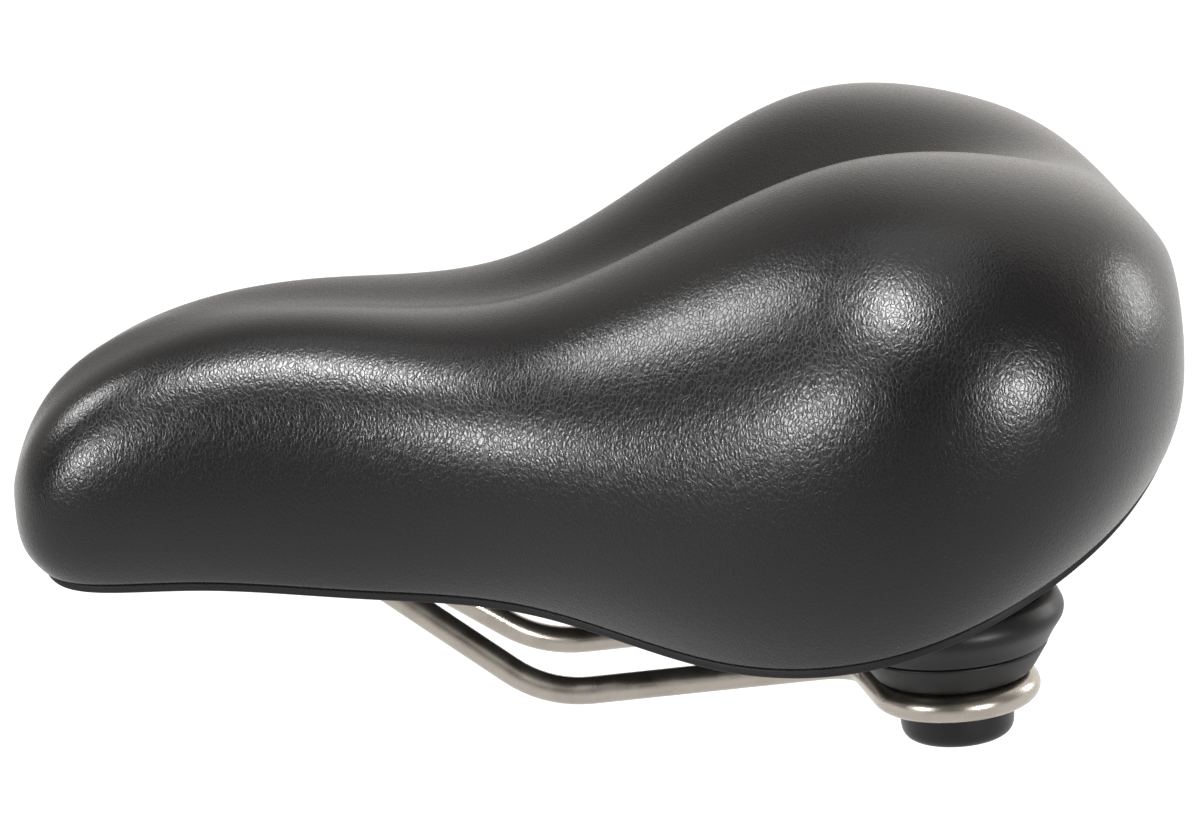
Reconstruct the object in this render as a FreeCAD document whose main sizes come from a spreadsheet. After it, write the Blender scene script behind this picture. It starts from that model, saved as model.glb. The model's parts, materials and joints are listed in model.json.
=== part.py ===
import FreeCAD, Part
import Sketcher

import math
import os
import sys

from FreeCAD import Placement, Vector

# Bicycle saddle with a two-eye wire frame and a pair of rear elastomer springs.
#
# Frame: origin midway between the two rails, at the middle of the straight stretch that a
# seatpost clamps. +X points to the nose, +Y to the rider's left, +Z up. Millimetres.
#
# The wire frame is held by the bicycle. The seat (cover, foam, base and everything bolted to
# it) turns on the wire's crossbar at the nose and squeezes the two elastomers at the back.

doc = FreeCAD.newDocument("bicycle_saddle")

# ---------------------------------------------------------------------------------------------
# Driving sizes
# ---------------------------------------------------------------------------------------------

SIZES = [
    # the upholstered seat
    ("nose_reach", 170.5, "clamp centre to the front of the cover"),
    ("tail_reach", 121.5, "clamp centre to the back of the cover"),
    ("seat_half_width", 112.0, "centre line to the outermost control point of the wings"),
    ("cover_wall", 1.6, "cover thickness, skin and its backing"),
    ("gel_depth", 6.0, "thickness of the gel pads"),
    ("gel_x", -50.0, "centre of a gel pad, along the saddle"),
    ("gel_half_length", 40.0, "gel pad, half its length"),
    ("gel_inner_y", 25.0, "centre line to the inner end of a gel pad"),
    ("gel_outer_gap", 33.0, "outer end of a gel pad, inside the seat's half width"),
    # the moulded base
    ("lip_setback", 0.9, "base lip set back under the edge of the cover"),
    ("lip_depth", 2.4, "depth of the base lip below the cover"),
    ("ledge_width", 5.4, "flat ledge inside the lip that carries foam and cover"),
    ("base_wall", 2.8, "wall of the base"),
    ("rib_depth", 4.5, "depth of the stiffening ribs under the base"),
    ("rib_wall", 2.4, "thickness of a rib"),
    ("rib_y", 15.0, "centre line to a lengthwise rib"),
    ("rib_back", -96.0, "back end of the lengthwise ribs"),
    ("rib_gap", 2.0, "lengthwise ribs stop short of the nose socket"),
    ("cross_rib_reach", 34.0, "half the length of a cross rib"),
    ("cross_rib_pitch", 44.0, "from one cross rib to the next"),
    ("boss_radius", 23.0, "post of the base above an elastomer, lower end"),
    ("boss_tall", 50.0, "height of a post before the floor of the base cuts it off"),
    ("boss_draft", 4.0, "how much wider the uncut post is at its top"),
    ("boss_wall", 2.6, "wall of the post and of its hub"),
    # the wire frame
    ("wire_dia", 7.0, "rail wire"),
    ("rail_spacing", 43.0, "centre to centre of the rails where the post clamps"),
    ("rise_x", 42.0, "where the rails turn upwards, corner of the bend"),
    ("rise_radius", 31.0, "radius of the upward bend"),
    ("jog_radius", 10.0, "radius of the outward bend in front of an eye"),
    ("pivot_x", 97.0, "crossbar at the nose, along the saddle"),
    ("pivot_z", 44.0, "crossbar at the nose, above the rails"),
    ("pivot_corner_y", 10.5, "corner of the wire beside the crossbar"),
    ("pivot_radius", 8.0, "bend beside the crossbar"),
    ("eye_x", -58.0, "centre of an eye, along the saddle"),
    ("eye_inset", 65.0, "centre of an eye, inside the seat's half width"),
    ("eye_radius", 17.5, "centre line radius of an eye"),
    ("eye_entry", 8.0, "degrees round the eye where the wire joins it"),
    ("eye_end", 315.0, "degrees round the eye where the wire stops"),
    # the elastomer springs
    ("spring_gap", 0.3, "clearance of the elastomer to the wire and to the cup"),
    ("spring_bottom_dia", 40.0, "elastomer, lower end"),
    ("spring_top_dia", 47.2, "elastomer, upper end"),
    ("spring_bore_dia", 27.0, "hole through the elastomer"),
    ("spring_height", 7.8, "elastomer, free height"),
    ("cup_rim_dia", 48.6, "cup, lower rim"),
    ("cup_belly_dia", 55.0, "cup, widest"),
    ("cup_top_dia", 52.6, "cup, top"),
    ("cup_height", 12.0, "cup, height"),
    ("cup_belly_height", 6.6, "height of the cup's widest place"),
    ("cup_round", 8.0, "rounding of the cup's belly"),
    ("cup_wall", 2.6, "cup wall and floor"),
    ("cup_hub_dia", 15.0, "hub of the cup around the bolt"),
    ("neck_clearance", 2.2, "neck of the rebound knob to the wire of the eye around it"),
    ("knob_overhang", 2.6, "how far the knob stands out beyond its neck, under the wire"),
    ("knob_neck_top", 3.0, "top of the neck, above the wire's centre plane"),
    ("knob_bottom", -12.2, "underside of the knob, from the wire's centre plane"),
    ("shoulder_clearance", 0.33, "upper edge of the knob to the wire of the eye above it"),
    ("knob_taper", 1.5, "height over which the knob narrows to its neck"),
    ("knob_round", 5.0, "rounding of the knob's lower edge"),
    ("knob_pocket_depth", 8.0, "pocket for the bolt head"),
    ("knob_pocket_dia", 13.4, "pocket for the bolt head and its washer"),
    ("sleeve_dia", 13.0, "spacer sleeve between knob and cup"),
    # the fasteners
    ("bolt_dia", 6.0, "bolt through the spring stack"),
    ("bolt_head_dia", 10.0, "socket head"),
    ("bolt_head_height", 6.0, "socket head"),
    ("bolt_socket_width", 5.0, "hexagon socket, across its flats"),
    ("bolt_socket_depth", 3.5, "hexagon socket"),
    ("bolt_clearance", 0.3, "radial clearance of the bolt in its holes"),
    ("bolt_tip", 1.0, "bolt standing out of the nut"),
    ("washer_dia", 12.6, "washer under the bolt head"),
    ("washer_wall", 1.2, "washer thickness"),
    ("nut_width", 10.0, "nut, across its flats"),
    ("nut_height", 5.0, "nut"),
    ("nut_seat_depth", 10.0, "shelf that the nut sits on, above the cup"),
    ("nut_clearance", 0.15, "clearance of the nut in its pocket"),
    # the nose socket
    ("socket_front", 15.0, "from the crossbar to the front of the socket"),
    ("socket_back", 15.0, "from the crossbar to the back of the socket"),
    ("socket_side_gap", 1.45, "socket to the inside of the base's rim beside it"),
    ("socket_round", 5.0, "rounded corners of socket and clip"),
    ("clip_depth", 7.4, "clip plate, from the crossbar's centre down"),
    ("bearing_clearance", 0.05, "running clearance around the crossbar"),
    ("bearing_half_width", 3.2, "half the width of the crossbar's bearing"),
    ("leg_clearance", 0.9, "room for the wire's legs as the seat tips"),
    ("screw_dia", 4.0, "nose screw"),
    ("screw_head_dia", 7.6, "nose screw head"),
    ("screw_head_height", 2.4, "nose screw head"),
    ("screw_clearance", 0.2, "radial clearance of a nose screw in clip and socket"),
    ("screw_bite", 6.5, "length of a nose screw above the base floor's underside"),
    ("screw_boss_dia", 9.0, "boss on top of the base that a nose screw bites into"),
    ("screw_boss_height", 7.0, "boss above the base floor's underside"),
    ("screw_front_x", 10.2, "front screws, ahead of the crossbar"),
    ("screw_side", 7.5, "front screws, in from the side of the socket"),
    ("screw_back_x", 10.6, "back screw, behind the crossbar"),
]

sheet = doc.addObject("Spreadsheet::Sheet", "sizes")
for row, (alias, value, note) in enumerate(SIZES, start=1):
    sheet.set(f"A{row}", alias.replace("_", " "))
    sheet.set(f"B{row}", str(value))
    sheet.setAlias(f"B{row}", alias)
    sheet.set(f"C{row}", note)

# Stations of the upholstered seat, nose to tail. X is a share of the nose or tail reach, and
# the half widths are shares of the widest one. Heights are millimetres above the rails.
# The tuck is how far the edge sits back under the nose.
STATION_COLUMNS = (
    "along", "belly", "edge", "edge_up", "crown_up", "channel_up", "crown", "floor_up", "tuck"
)
STATIONS = [
    (1.000, 0.000, 0.000, 46.0, 62.0, 62.0, 0.000, 55.0, 4.5),
    (1.000, 0.158, 0.113, 45.0, 65.0, 65.5, 0.039, 56.0, 4.5),
    (0.957, 0.269, 0.201, 40.0, 87.0, 90.0, 0.095, 57.0, 1.0),
    (0.737, 0.322, 0.246, 41.5, 104.0, 105.5, 0.123, 58.0, 0.0),
    (0.501, 0.376, 0.304, 35.0, 105.5, 102.0, 0.158, 58.0, 0.0),
    (0.247, 0.525, 0.412, 33.5, 98.0, 94.5, 0.193, 57.0, 0.0),
    (0.005, 0.788, 0.649, 16.5, 118.5, 106.5, 0.260, 55.0, 0.0),
    (-0.346, 1.000, 0.877, 22.5, 140.0, 112.5, 0.353, 54.0, 0.0),
    (-0.691, 0.979, 0.795, 38.5, 131.0, 122.0, 0.331, 60.0, 0.0),
    (-0.908, 0.745, 0.602, 54.5, 117.5, 119.0, 0.345, 70.0, 0.0),
    (-1.000, 0.486, 0.357, 67.5, 98.5, 98.0, 0.207, 77.0, 0.0),
    (-1.000, 0.000, 0.000, 69.5, 97.0, 97.0, 0.000, 77.0, 0.0),
]

stations = doc.addObject("Spreadsheet::Sheet", "stations")
for column, title in enumerate(STATION_COLUMNS):
    letter = chr(ord("A") + column)
    stations.set(f"{letter}1", title)
    for row, station in enumerate(STATIONS, start=2):
        stations.set(f"{letter}{row}", str(station[column]))
doc.recompute()


def size(alias):
    """A driving size, read from the sheet."""
    return float(getattr(sheet, alias))


def station_rows():
    """The stations as dictionaries, with real positions in millimetres."""
    rows = []
    for row in range(2, len(STATIONS) + 2):
        cell = {
            title: float(stations.get(f"{chr(ord('A') + column)}{row}"))
            for column, title in enumerate(STATION_COLUMNS)
        }
        reach = size("nose_reach") if cell["along"] > 0 else size("tail_reach")
        cell["x"] = cell["along"] * reach
        for width in ("belly", "edge", "crown"):
            cell[width] *= size("seat_half_width")
        rows.append(cell)
    return rows


# ---------------------------------------------------------------------------------------------
# Helpers for bound primitives
# ---------------------------------------------------------------------------------------------


def bind(target, **expressions):
    """Bind properties of an object to the sheet. Words that are aliases become cells."""
    aliases = sorted((alias for alias, _, _ in SIZES), key=len, reverse=True)
    for name, text in expressions.items():
        words = text.replace("(", "( ").replace(")", " )").split()
        bound = " ".join(f"sizes.{word}" if word in aliases else word for word in words)
        target.setExpression(name.replace("__", "."), bound)
    return target


def place(target, across, along="0", up="0"):
    """Bind the position of an object."""
    return bind(
        target,
        Placement__Base__x=along,
        Placement__Base__y=across,
        Placement__Base__z=up,
    )


def primitive(kind, name, across="0", along="0", up="0", **expressions):
    made = doc.addObject(kind, name)
    bind(made, **expressions)
    return place(made, across, along, up)


def boolean(kind, name, base, tool):
    made = doc.addObject(kind, name)
    made.Base = base
    made.Tool = tool
    return made


def label(made, node):
    """Give a finished sub-part the name that its file gets."""
    made.Label = node
    return made


def origin_plane(body, role):
    return next(f for f in body.Origin.OriginFeatures if f.Role == role)


def turned(name, outline, across, along, up):
    """A turned piece: a closed outline of (radius, height) expressions, revolved about +Z."""
    body = doc.addObject("PartDesign::Body", name)
    sketch = body.newObject("Sketcher::SketchObject", f"{name}_outline")
    sketch.AttachmentSupport = [(origin_plane(body, "XZ_Plane"), "")]
    sketch.MapMode = "FlatFace"
    values = [(evaluate(radius), evaluate(height)) for radius, height in outline]
    count = len(values)
    for index in range(count):
        start = Vector(values[index][0], values[index][1], 0)
        end_index = (index + 1) % count
        end = Vector(values[end_index][0], values[end_index][1], 0)
        sketch.addGeometry(Part.LineSegment(start, end), False)
    for index in range(count):
        sketch.addConstraint(
            Sketcher.Constraint("Coincident", index, 2, (index + 1) % count, 1)
        )
    for index, (radius, height) in enumerate(outline):
        across_id = sketch.addConstraint(
            Sketcher.Constraint("DistanceX", -1, 1, index, 1, values[index][0])
        )
        up_id = sketch.addConstraint(
            Sketcher.Constraint("DistanceY", -1, 1, index, 1, values[index][1])
        )
        bind(sketch, **{f"Constraints[{across_id}]": radius, f"Constraints[{up_id}]": height})
    turn = body.newObject("PartDesign::Revolution", f"{name}_turn")
    turn.Profile = sketch
    turn.ReferenceAxis = (sketch, ["V_Axis"])
    turn.Angle = 360
    place(body, across, along, up)
    return body


def rounded(body, radius, edge_radius, height):
    """Round the circular edge of a turned body that has this radius and height."""
    doc.recompute()
    turn = body.Tip
    names = [
        f"Edge{index}"
        for index, edge in enumerate(turn.Shape.Edges, start=1)
        if hasattr(edge.Curve, "Radius")
        and abs(edge.Curve.Radius - edge_radius) < 0.01
        and abs(edge.Vertexes[0].Z - height) < 0.01
    ]
    fillet = body.newObject("PartDesign::Fillet", f"{body.Name}_round")
    fillet.Base = (turn, names)
    bind(fillet, Radius=radius)
    return body


def evaluate(text):
    """The value of an expression of sheet aliases."""
    return float(sheet.evalExpression(text))


# ---------------------------------------------------------------------------------------------
# The seat's surfaces
# ---------------------------------------------------------------------------------------------


def inset_x(row, inset):
    reach = size("nose_reach") if row["x"] > 0 else size("tail_reach")
    return row["x"] * (1 - inset / reach)


def narrowed(width, inset):
    return width - inset if width > 0 else 0.0


def seat_outline(row, inset):
    """Half of one station of the seat, edge to centre line, as (set back, across, up)."""
    belly = narrowed(row["belly"], inset)
    edge = narrowed(row["edge"], inset)
    low = row["edge_up"]
    top = row["crown_up"] - inset
    middle = row["channel_up"] - inset
    deep = top - low
    crown = min(row["crown"], belly)
    waist = 0.4 if 0 < row["along"] < 0.1 else 0.5
    return [
        (row["tuck"], edge, low),
        (0.35 * row["tuck"], edge + 0.55 * (belly - edge), low + 0.10 * deep),
        (0.0, belly, low + (waist - 0.17) * deep),
        (0.0, belly, low + (waist + 0.17) * deep),
        (0.0, crown + 0.66 * (belly - crown), low + 0.97 * deep),
        (0.0, crown, top),
        (0.0, 0.45 * crown, 0.35 * top + 0.65 * middle),
        (0.0, 0.0, middle),
    ]


def floor_outline(row, inset, drop, wall):
    """Half of one station of the base's dished floor, as (set back, across, up)."""
    back = row["tuck"]
    edge = narrowed(row["edge"], inset)
    low = row["edge_up"] - drop
    top = row["floor_up"] - wall
    rise = top - low
    return [
        (back, edge, low),
        (back, 0.97 * edge, low + 0.55 * rise),
        (back, 0.74 * edge, low + 0.96 * rise),
        (back, 0.38 * edge, top),
        (back, 0.0, top),
    ]


def spline_surface(rows):
    """A clamped cubic surface through a net of control points."""
    along = len(rows) - 3
    across = len(rows[0]) - 3
    knots_along = [index / along for index in range(along + 1)]
    knots_across = [index / across for index in range(across + 1)]
    repeats_along = [4] + [1] * (along - 1) + [4]
    repeats_across = [4] + [1] * (across - 1) + [4]
    surface = Part.BSplineSurface()
    surface.buildFromPolesMultsKnots(
        rows, repeats_along, repeats_across, knots_along, knots_across, False, False, 3, 3
    )
    return surface


def two_halves(outline, inset):
    """The right and left faces of a surface given by its half cross-sections."""
    rows = []
    for row in station_rows():
        half = outline(row)
        full = [(back, -y, z) for back, y, z in half[:-1]] + half[::-1]
        x = inset_x(row, inset)
        rows.append([Vector(x - back, y, z) for back, y, z in full])
    faces = []
    for start, end in ((0.0, 0.5), (0.5, 1.0)):
        surface = spline_surface(rows)
        surface.segment(0.0, 1.0, start, end)
        faces.append(surface.toShape())
    return faces


def edge_curve(inset, drop, side):
    """A curve along the seat's edge, set in and down from the cover's own edge."""
    poles = [
        Vector(
            inset_x(row, inset) - row["tuck"],
            side * narrowed(row["edge"], inset),
            row["edge_up"] - drop,
        )
        for row in station_rows()
    ]
    spans = len(poles) - 3
    curve = Part.BSplineCurve()
    curve.buildFromPolesMultsKnots(
        poles,
        [4] + [1] * (spans - 1) + [4],
        [index / spans for index in range(spans + 1)],
        False,
        3,
    )
    return curve.toShape()


def edge_strips(first, second):
    """Ruled strips, right and left, between two edge curves given as (inset, drop)."""
    return [
        Part.makeRuledSurface(edge_curve(*first, side), edge_curve(*second, side))
        for side in (-1, 1)
    ]


def closed_solid(faces):
    shell = Part.makeShell(faces)
    shell.sewShape()
    solid = Part.makeSolid(shell)
    if solid.Volume < 0:
        solid.reverse()
    return solid


def upper_faces(inset):
    return two_halves(lambda row: seat_outline(row, inset), inset)


def floor_faces(inset, drop, wall):
    return two_halves(lambda row: floor_outline(row, inset, drop, wall), inset)


cover_wall = size("cover_wall")
ledge_inner = size("lip_setback") + size("ledge_width")
floor_inner = ledge_inner + size("base_wall")
lip_depth = size("lip_depth")
base_wall = size("base_wall")


def cover_shape():
    return closed_solid(
        upper_faces(0) + upper_faces(cover_wall) + edge_strips((0, 0), (cover_wall, 0))
    )


def foam_block(inset):
    """Everything between the base and a surface set in from the cover's outside."""
    return closed_solid(
        upper_faces(inset)
        + edge_strips((inset, 0), (ledge_inner, 0))
        + floor_faces(ledge_inner, 0, 0)
    )


def base_skin():
    """The dished floor with its ledge and lip."""
    return closed_solid(
        floor_faces(ledge_inner, 0, 0)
        + edge_strips((ledge_inner, 0), (size("lip_setback"), 0))
        + edge_strips((size("lip_setback"), 0), (size("lip_setback"), lip_depth))
        + edge_strips((size("lip_setback"), lip_depth), (floor_inner, lip_depth))
        + floor_faces(floor_inner, lip_depth, base_wall)
    )


def rib_zone():
    """The layer under the floor that ribs are cut from."""
    depth = size("rib_depth")
    return closed_solid(
        floor_faces(floor_inner, lip_depth, base_wall)
        + edge_strips((floor_inner, lip_depth), (floor_inner, lip_depth + depth))
        + floor_faces(floor_inner, lip_depth + depth, base_wall + depth)
    )


def lowest(shape):
    return min(shape.Solids, key=lambda solid: solid.CenterOfMass.z)


def upright(radius, height, x, y, z):
    return Part.makeCylinder(radius, height, Vector(x, y, z))


def hexagon(across_flats, height, x, y, z):
    """An upright hexagonal bar."""
    radius = across_flats / math.sqrt(3)
    corners = [
        Vector(
            x + radius * math.cos(math.radians(60 * turn)),
            y + radius * math.sin(math.radians(60 * turn)),
            z,
        )
        for turn in range(7)
    ]
    return Part.Face(Part.makePolygon(corners)).extrude(Vector(0, 0, height))


# ---------------------------------------------------------------------------------------------
# Derived places
# ---------------------------------------------------------------------------------------------

EYE_Y = "( seat_half_width - eye_inset )"
SPRING_FOOT = "wire_dia / 2 + spring_gap"
CUP_FOOT = f"{SPRING_FOOT} + spring_height + spring_gap"
CUP_HEAD = f"{CUP_FOOT} + cup_height"
NUT_FOOT = f"{CUP_HEAD} + nut_seat_depth"
WASHER_FOOT = "knob_bottom + knob_pocket_depth - washer_wall"
BOLT_HOLE = "bolt_dia / 2 + bolt_clearance"
NECK_RADIUS = "eye_radius - wire_dia / 2 - neck_clearance"
KNOB_RADIUS = f"{NECK_RADIUS} + knob_overhang"
SHOULDER_REACH = "( wire_dia / 2 + shoulder_clearance ) ^ 2"
SHOULDER_SIDE = "( wire_dia / 2 + neck_clearance - knob_overhang ) ^ 2"
SHOULDER = f"0 - sqrt( {SHOULDER_REACH} - {SHOULDER_SIDE} )"
KNOB_WALL = f"( {KNOB_RADIUS} - knob_pocket_dia / 2 )"
KNOB_ROUND = f"min( knob_round ; 0.9 * {KNOB_WALL} )"

eye_y = evaluate(EYE_Y)
wire_radius = size("wire_dia") / 2
cup_top = evaluate(CUP_HEAD)
nut_bottom = evaluate(NUT_FOOT)
bolt_hole = evaluate(BOLT_HOLE)
pivot = Vector(size("pivot_x"), 0, size("pivot_z"))
HIGH = 400.0
SIDES = (("left", 1), ("right", -1))


def socket_width():
    """Half the width that the base's rim leaves for the nose socket at its front."""
    front = size("pivot_x") + size("socket_front")
    beside = min(station_rows(), key=lambda row: abs(row["x"] - front))
    return beside["edge"] - floor_inner - size("socket_side_gap")


socket_half_width = socket_width()
screw_front_y = socket_half_width - size("screw_side")
SCREW_SPOTS = (
    (size("pivot_x") + size("screw_front_x"), screw_front_y),
    (size("pivot_x") + size("screw_front_x"), -screw_front_y),
    (size("pivot_x") - size("screw_back_x"), 0.0),
)

# ---------------------------------------------------------------------------------------------
# Base, foam, gel and cover
# ---------------------------------------------------------------------------------------------

skin = base_skin()


def under_base(shape):
    """What is left of an upright shape below the base."""
    return lowest(shape.cut(skin))


def floor_height(x, y):
    """Height of the base's underside over a point."""
    line = Part.makeLine(Vector(x, y, -HIGH), Vector(x, y, HIGH))
    return min(vertex.Z for vertex in line.common(skin).Vertexes)


def base_posts():
    """Hollow posts, each with a hub for the nut, that stand on the elastomer cups."""
    posts = []
    wall = size("boss_wall")
    outer = size("boss_radius")
    draft = size("boss_draft")
    hub = size("nut_width") / math.sqrt(3) + size("nut_clearance") + wall
    for _, side in SIDES:
        foot = Vector(size("eye_x"), side * eye_y, cup_top)
        tall = size("boss_tall")
        post = Part.makeCone(outer, outer + draft, tall, foot)
        hollow = Part.makeCone(outer - wall, outer + draft - wall, tall, foot)
        core = upright(hub, tall, foot.x, foot.y, foot.z)
        posts.append(under_base(post.cut(hollow)))
        posts.append(under_base(core))
    return posts


def base_ribs():
    """Two lengthwise ribs and the cross ribs between them, all following the floor."""
    zone = rib_zone()
    wall = size("rib_wall")
    back = size("rib_back")
    front = size("pivot_x") - size("socket_back") - size("rib_gap")
    bars = [
        Part.makeBox(front - back, wall, HIGH, Vector(back, side * size("rib_y") - wall / 2, 0))
        for _, side in SIDES
    ]
    reach = size("cross_rib_reach")
    for x in (size("eye_x") + turn * size("cross_rib_pitch") for turn in range(3)):
        bars.append(Part.makeBox(wall, 2 * reach, HIGH, Vector(x - wall / 2, -reach, 0)))
    return [bar.common(zone) for bar in bars]


def screw_bosses():
    bosses = []
    for x, y in SCREW_SPOTS:
        low = floor_height(x, y)
        boss = upright(size("screw_boss_dia") / 2, size("screw_boss_height"), x, y, low)
        bosses.append(max(boss.cut(skin).Solids, key=lambda solid: solid.CenterOfMass.z))
    return bosses


def drilled(blank):
    """The base with its bolt holes, nut pockets and screw holes."""
    base = blank
    for _, side in SIDES:
        x = size("eye_x")
        y = side * eye_y
        pocket_width = size("nut_width") + 2 * size("nut_clearance")
        base = base.cut(upright(bolt_hole, HIGH, x, y, cup_top - 1))
        base = base.cut(hexagon(pocket_width, HIGH, x, y, nut_bottom))
    for x, y in SCREW_SPOTS:
        low = floor_height(x, y)
        base = base.cut(upright(size("screw_dia") / 2, size("screw_bite"), x, y, low - 1))
        base = base.cut(upright(size("screw_dia") / 2, size("screw_bite"), x, y, low))
    return base


def ellipse_column(x, y, half_length, half_width):
    ellipse = Part.Ellipse(Vector(0, 0, 0), half_length, half_width).toShape()
    column = Part.Face(Part.Wire([ellipse])).extrude(Vector(0, 0, HIGH))
    column.translate(Vector(x, y, 0))
    return column


base_blank = skin.fuse(base_posts() + base_ribs() + screw_bosses()).removeSplitter()
foam_whole = foam_block(cover_wall)
foam_inner = foam_block(cover_wall + size("gel_depth"))


def gel_shape(side):
    inner = size("gel_inner_y")
    outer = size("seat_half_width") - size("gel_outer_gap")
    column = ellipse_column(
        size("gel_x"), side * (inner + outer) / 2, size("gel_half_length"), (outer - inner) / 2
    )
    return foam_whole.common(column).cut(foam_inner)


gel_solids = {name: gel_shape(side) for name, side in SIDES}
foam_solid = foam_whole.cut([base_blank] + list(gel_solids.values()))


def feature(name, shape):
    made = doc.addObject("Part::Feature", name)
    made.Shape = shape
    made.Placement = Placement()
    return label(made, name)


nodes = [
    feature("cover", cover_shape()),
    feature("foam_core", foam_solid),
    feature("gel_pad_left", gel_solids["left"]),
    feature("gel_pad_right", gel_solids["right"]),
    feature("base_shell", drilled(base_blank)),
]

# ---------------------------------------------------------------------------------------------
# The wire frame
# ---------------------------------------------------------------------------------------------


def rounded_run(points, radii):
    """Edges along a polyline whose inner corners are rounded with tangent arcs."""
    edges = []
    start = points[0]
    for before, corner, after, radius in zip(points, points[1:], points[2:], radii):
        towards = (corner - before).normalize()
        away = (after - corner).normalize()
        turn = towards.getAngle(away)
        trim = radius * math.tan(turn / 2)
        arc_start = corner - towards * trim
        arc_end = corner + away * trim
        inward = (away - towards).normalize()
        centre = corner + inward * (radius / math.cos(turn / 2))
        middle = centre - inward * radius
        edges.append(Part.LineSegment(start, arc_start).toShape())
        edges.append(Part.Arc(arc_start, middle, arc_end).toShape())
        start = arc_end
    edges.append(Part.LineSegment(start, points[-1]).toShape())
    return edges


def eye_point(degrees, side):
    angle = math.radians(degrees)
    radius = size("eye_radius")
    return Vector(
        size("eye_x") + radius * math.cos(angle),
        side * (eye_y + radius * math.sin(angle)),
        0,
    )


def eye_arc(side):
    entry = size("eye_entry")
    end = size("eye_end")
    middle = (entry + end) / 2
    return Part.Arc(eye_point(entry, side), eye_point(middle, side), eye_point(end, side)).toShape()


def wire_corners(side):
    """Corners from the crossbar's middle back to where the wire joins its eye."""
    rail_y = side * size("rail_spacing") / 2
    entry = eye_point(size("eye_entry"), side)
    slope = math.tan(math.radians(size("eye_entry")))
    jog_x = entry.x + abs(entry.y - rail_y) * slope
    return [
        pivot,
        Vector(size("pivot_x"), side * size("pivot_corner_y"), size("pivot_z")),
        Vector(size("rise_x"), rail_y, 0),
        Vector(jog_x, rail_y, 0),
        entry,
    ]


def wire_edges(side):
    radii = (size("pivot_radius"), size("rise_radius"), size("jog_radius"))
    return rounded_run(wire_corners(side), radii) + [eye_arc(side)]


def whole_wire():
    """One wire: right eye, right rail, crossbar, left rail, left eye."""
    return Part.Wire(Part.__sortEdges__(wire_edges(-1) + wire_edges(1)))


def pipe(path, radius):
    """A round bar along a path."""
    first = path.OrderedEdges[0]
    start = first.valueAt(first.FirstParameter)
    direction = first.tangentAt(first.FirstParameter)
    ring = Part.Wire([Part.Circle(start, direction, radius).toShape()])
    return path.makePipeShell([ring], True, False)


wire_path = whole_wire()
nodes.append(feature("rail_wire", pipe(wire_path, wire_radius)))


def leg_room():
    """Space for the crossbar's bends and the legs, on both sides of the bearing."""
    radius = wire_radius + size("leg_clearance")
    bearing = size("bearing_half_width")
    reach = socket_half_width + 5
    spaces = []
    for _, side in SIDES:
        corners = wire_corners(side)[:3]
        path = Part.Wire(rounded_run(corners, (size("pivot_radius"),)))
        room = pipe(path, radius)
        start = bearing if side > 0 else -bearing - reach
        keep = Part.makeBox(HIGH, reach, HIGH, Vector(0, start, -size("wire_dia")))
        spaces.append(room.common(keep))
    return spaces


def bearing_hole():
    radius = wire_radius + size("bearing_clearance")
    half = size("bearing_half_width") + 0.5
    return Part.makeCylinder(
        radius, 2 * half, Vector(size("pivot_x"), -half, size("pivot_z")), Vector(0, 1, 0)
    )


def nose_block(low, high):
    """A slice of the nose socket's outline with the wire and screw holes cut out."""
    back = size("pivot_x") - size("socket_back")
    length = size("socket_front") + size("socket_back")
    half = socket_half_width
    block = Part.makeBox(length, 2 * half, high - low, Vector(back, -half, low))
    upright_edges = [
        edge for edge in block.Edges if abs(edge.tangentAt(edge.FirstParameter).z) > 0.99
    ]
    block = block.makeFillet(size("socket_round"), upright_edges)
    hole = size("screw_dia") / 2 + size("screw_clearance")
    tools = leg_room() + [bearing_hole()]
    tools += [upright(hole, HIGH, x, y, 0) for x, y in SCREW_SPOTS]
    return block.cut(tools)


clip_bottom = size("pivot_z") - size("clip_depth")
nodes.append(feature("nose_socket", under_base(nose_block(size("pivot_z"), HIGH))))
nodes.append(feature("nose_clip", nose_block(clip_bottom, size("pivot_z"))))


def nose_screw(x, y):
    top = floor_height(x, y) + size("screw_bite")
    shank = upright(size("screw_dia") / 2, top - clip_bottom, x, y, clip_bottom)
    head_height = size("screw_head_height")
    head = upright(size("screw_head_dia") / 2, head_height, x, y, clip_bottom - head_height)
    return shank.fuse(head).removeSplitter()


screws = [nose_screw(x, y) for x, y in SCREW_SPOTS]
nodes.append(feature("nose_screws", Part.makeCompound(screws)))

# ---------------------------------------------------------------------------------------------
# The spring stacks
# ---------------------------------------------------------------------------------------------

def elastomer(name, eye):
    """A tapered elastomer ring that stands on the eye."""
    outline = [
        ("spring_bore_dia / 2", "0"),
        ("spring_bottom_dia / 2", "0"),
        ("spring_top_dia / 2", "spring_height"),
        ("spring_bore_dia / 2", "spring_height"),
    ]
    return turned(f"elastomer_{name}", outline, up=SPRING_FOOT, **eye)


def spring_cup(name, eye):
    """The bellied cup on top of the elastomer, open upwards, with a hub for the bolt."""
    outline = [
        (BOLT_HOLE, "0"),
        ("cup_rim_dia / 2", "0"),
        ("cup_belly_dia / 2", "cup_belly_height"),
        ("cup_top_dia / 2", "cup_height"),
        ("cup_top_dia / 2 - cup_wall", "cup_height"),
        ("cup_belly_dia / 2 - cup_wall", "cup_belly_height"),
        ("cup_rim_dia / 2 - cup_wall", "cup_wall"),
        ("cup_hub_dia / 2", "cup_wall"),
        ("cup_hub_dia / 2", "cup_height"),
        (BOLT_HOLE, "cup_height"),
    ]
    body = turned(f"spring_cup_{name}", outline, up=CUP_FOOT, **eye)
    return rounded(body, "cup_round", size("cup_belly_dia") / 2, size("cup_belly_height"))


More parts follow.
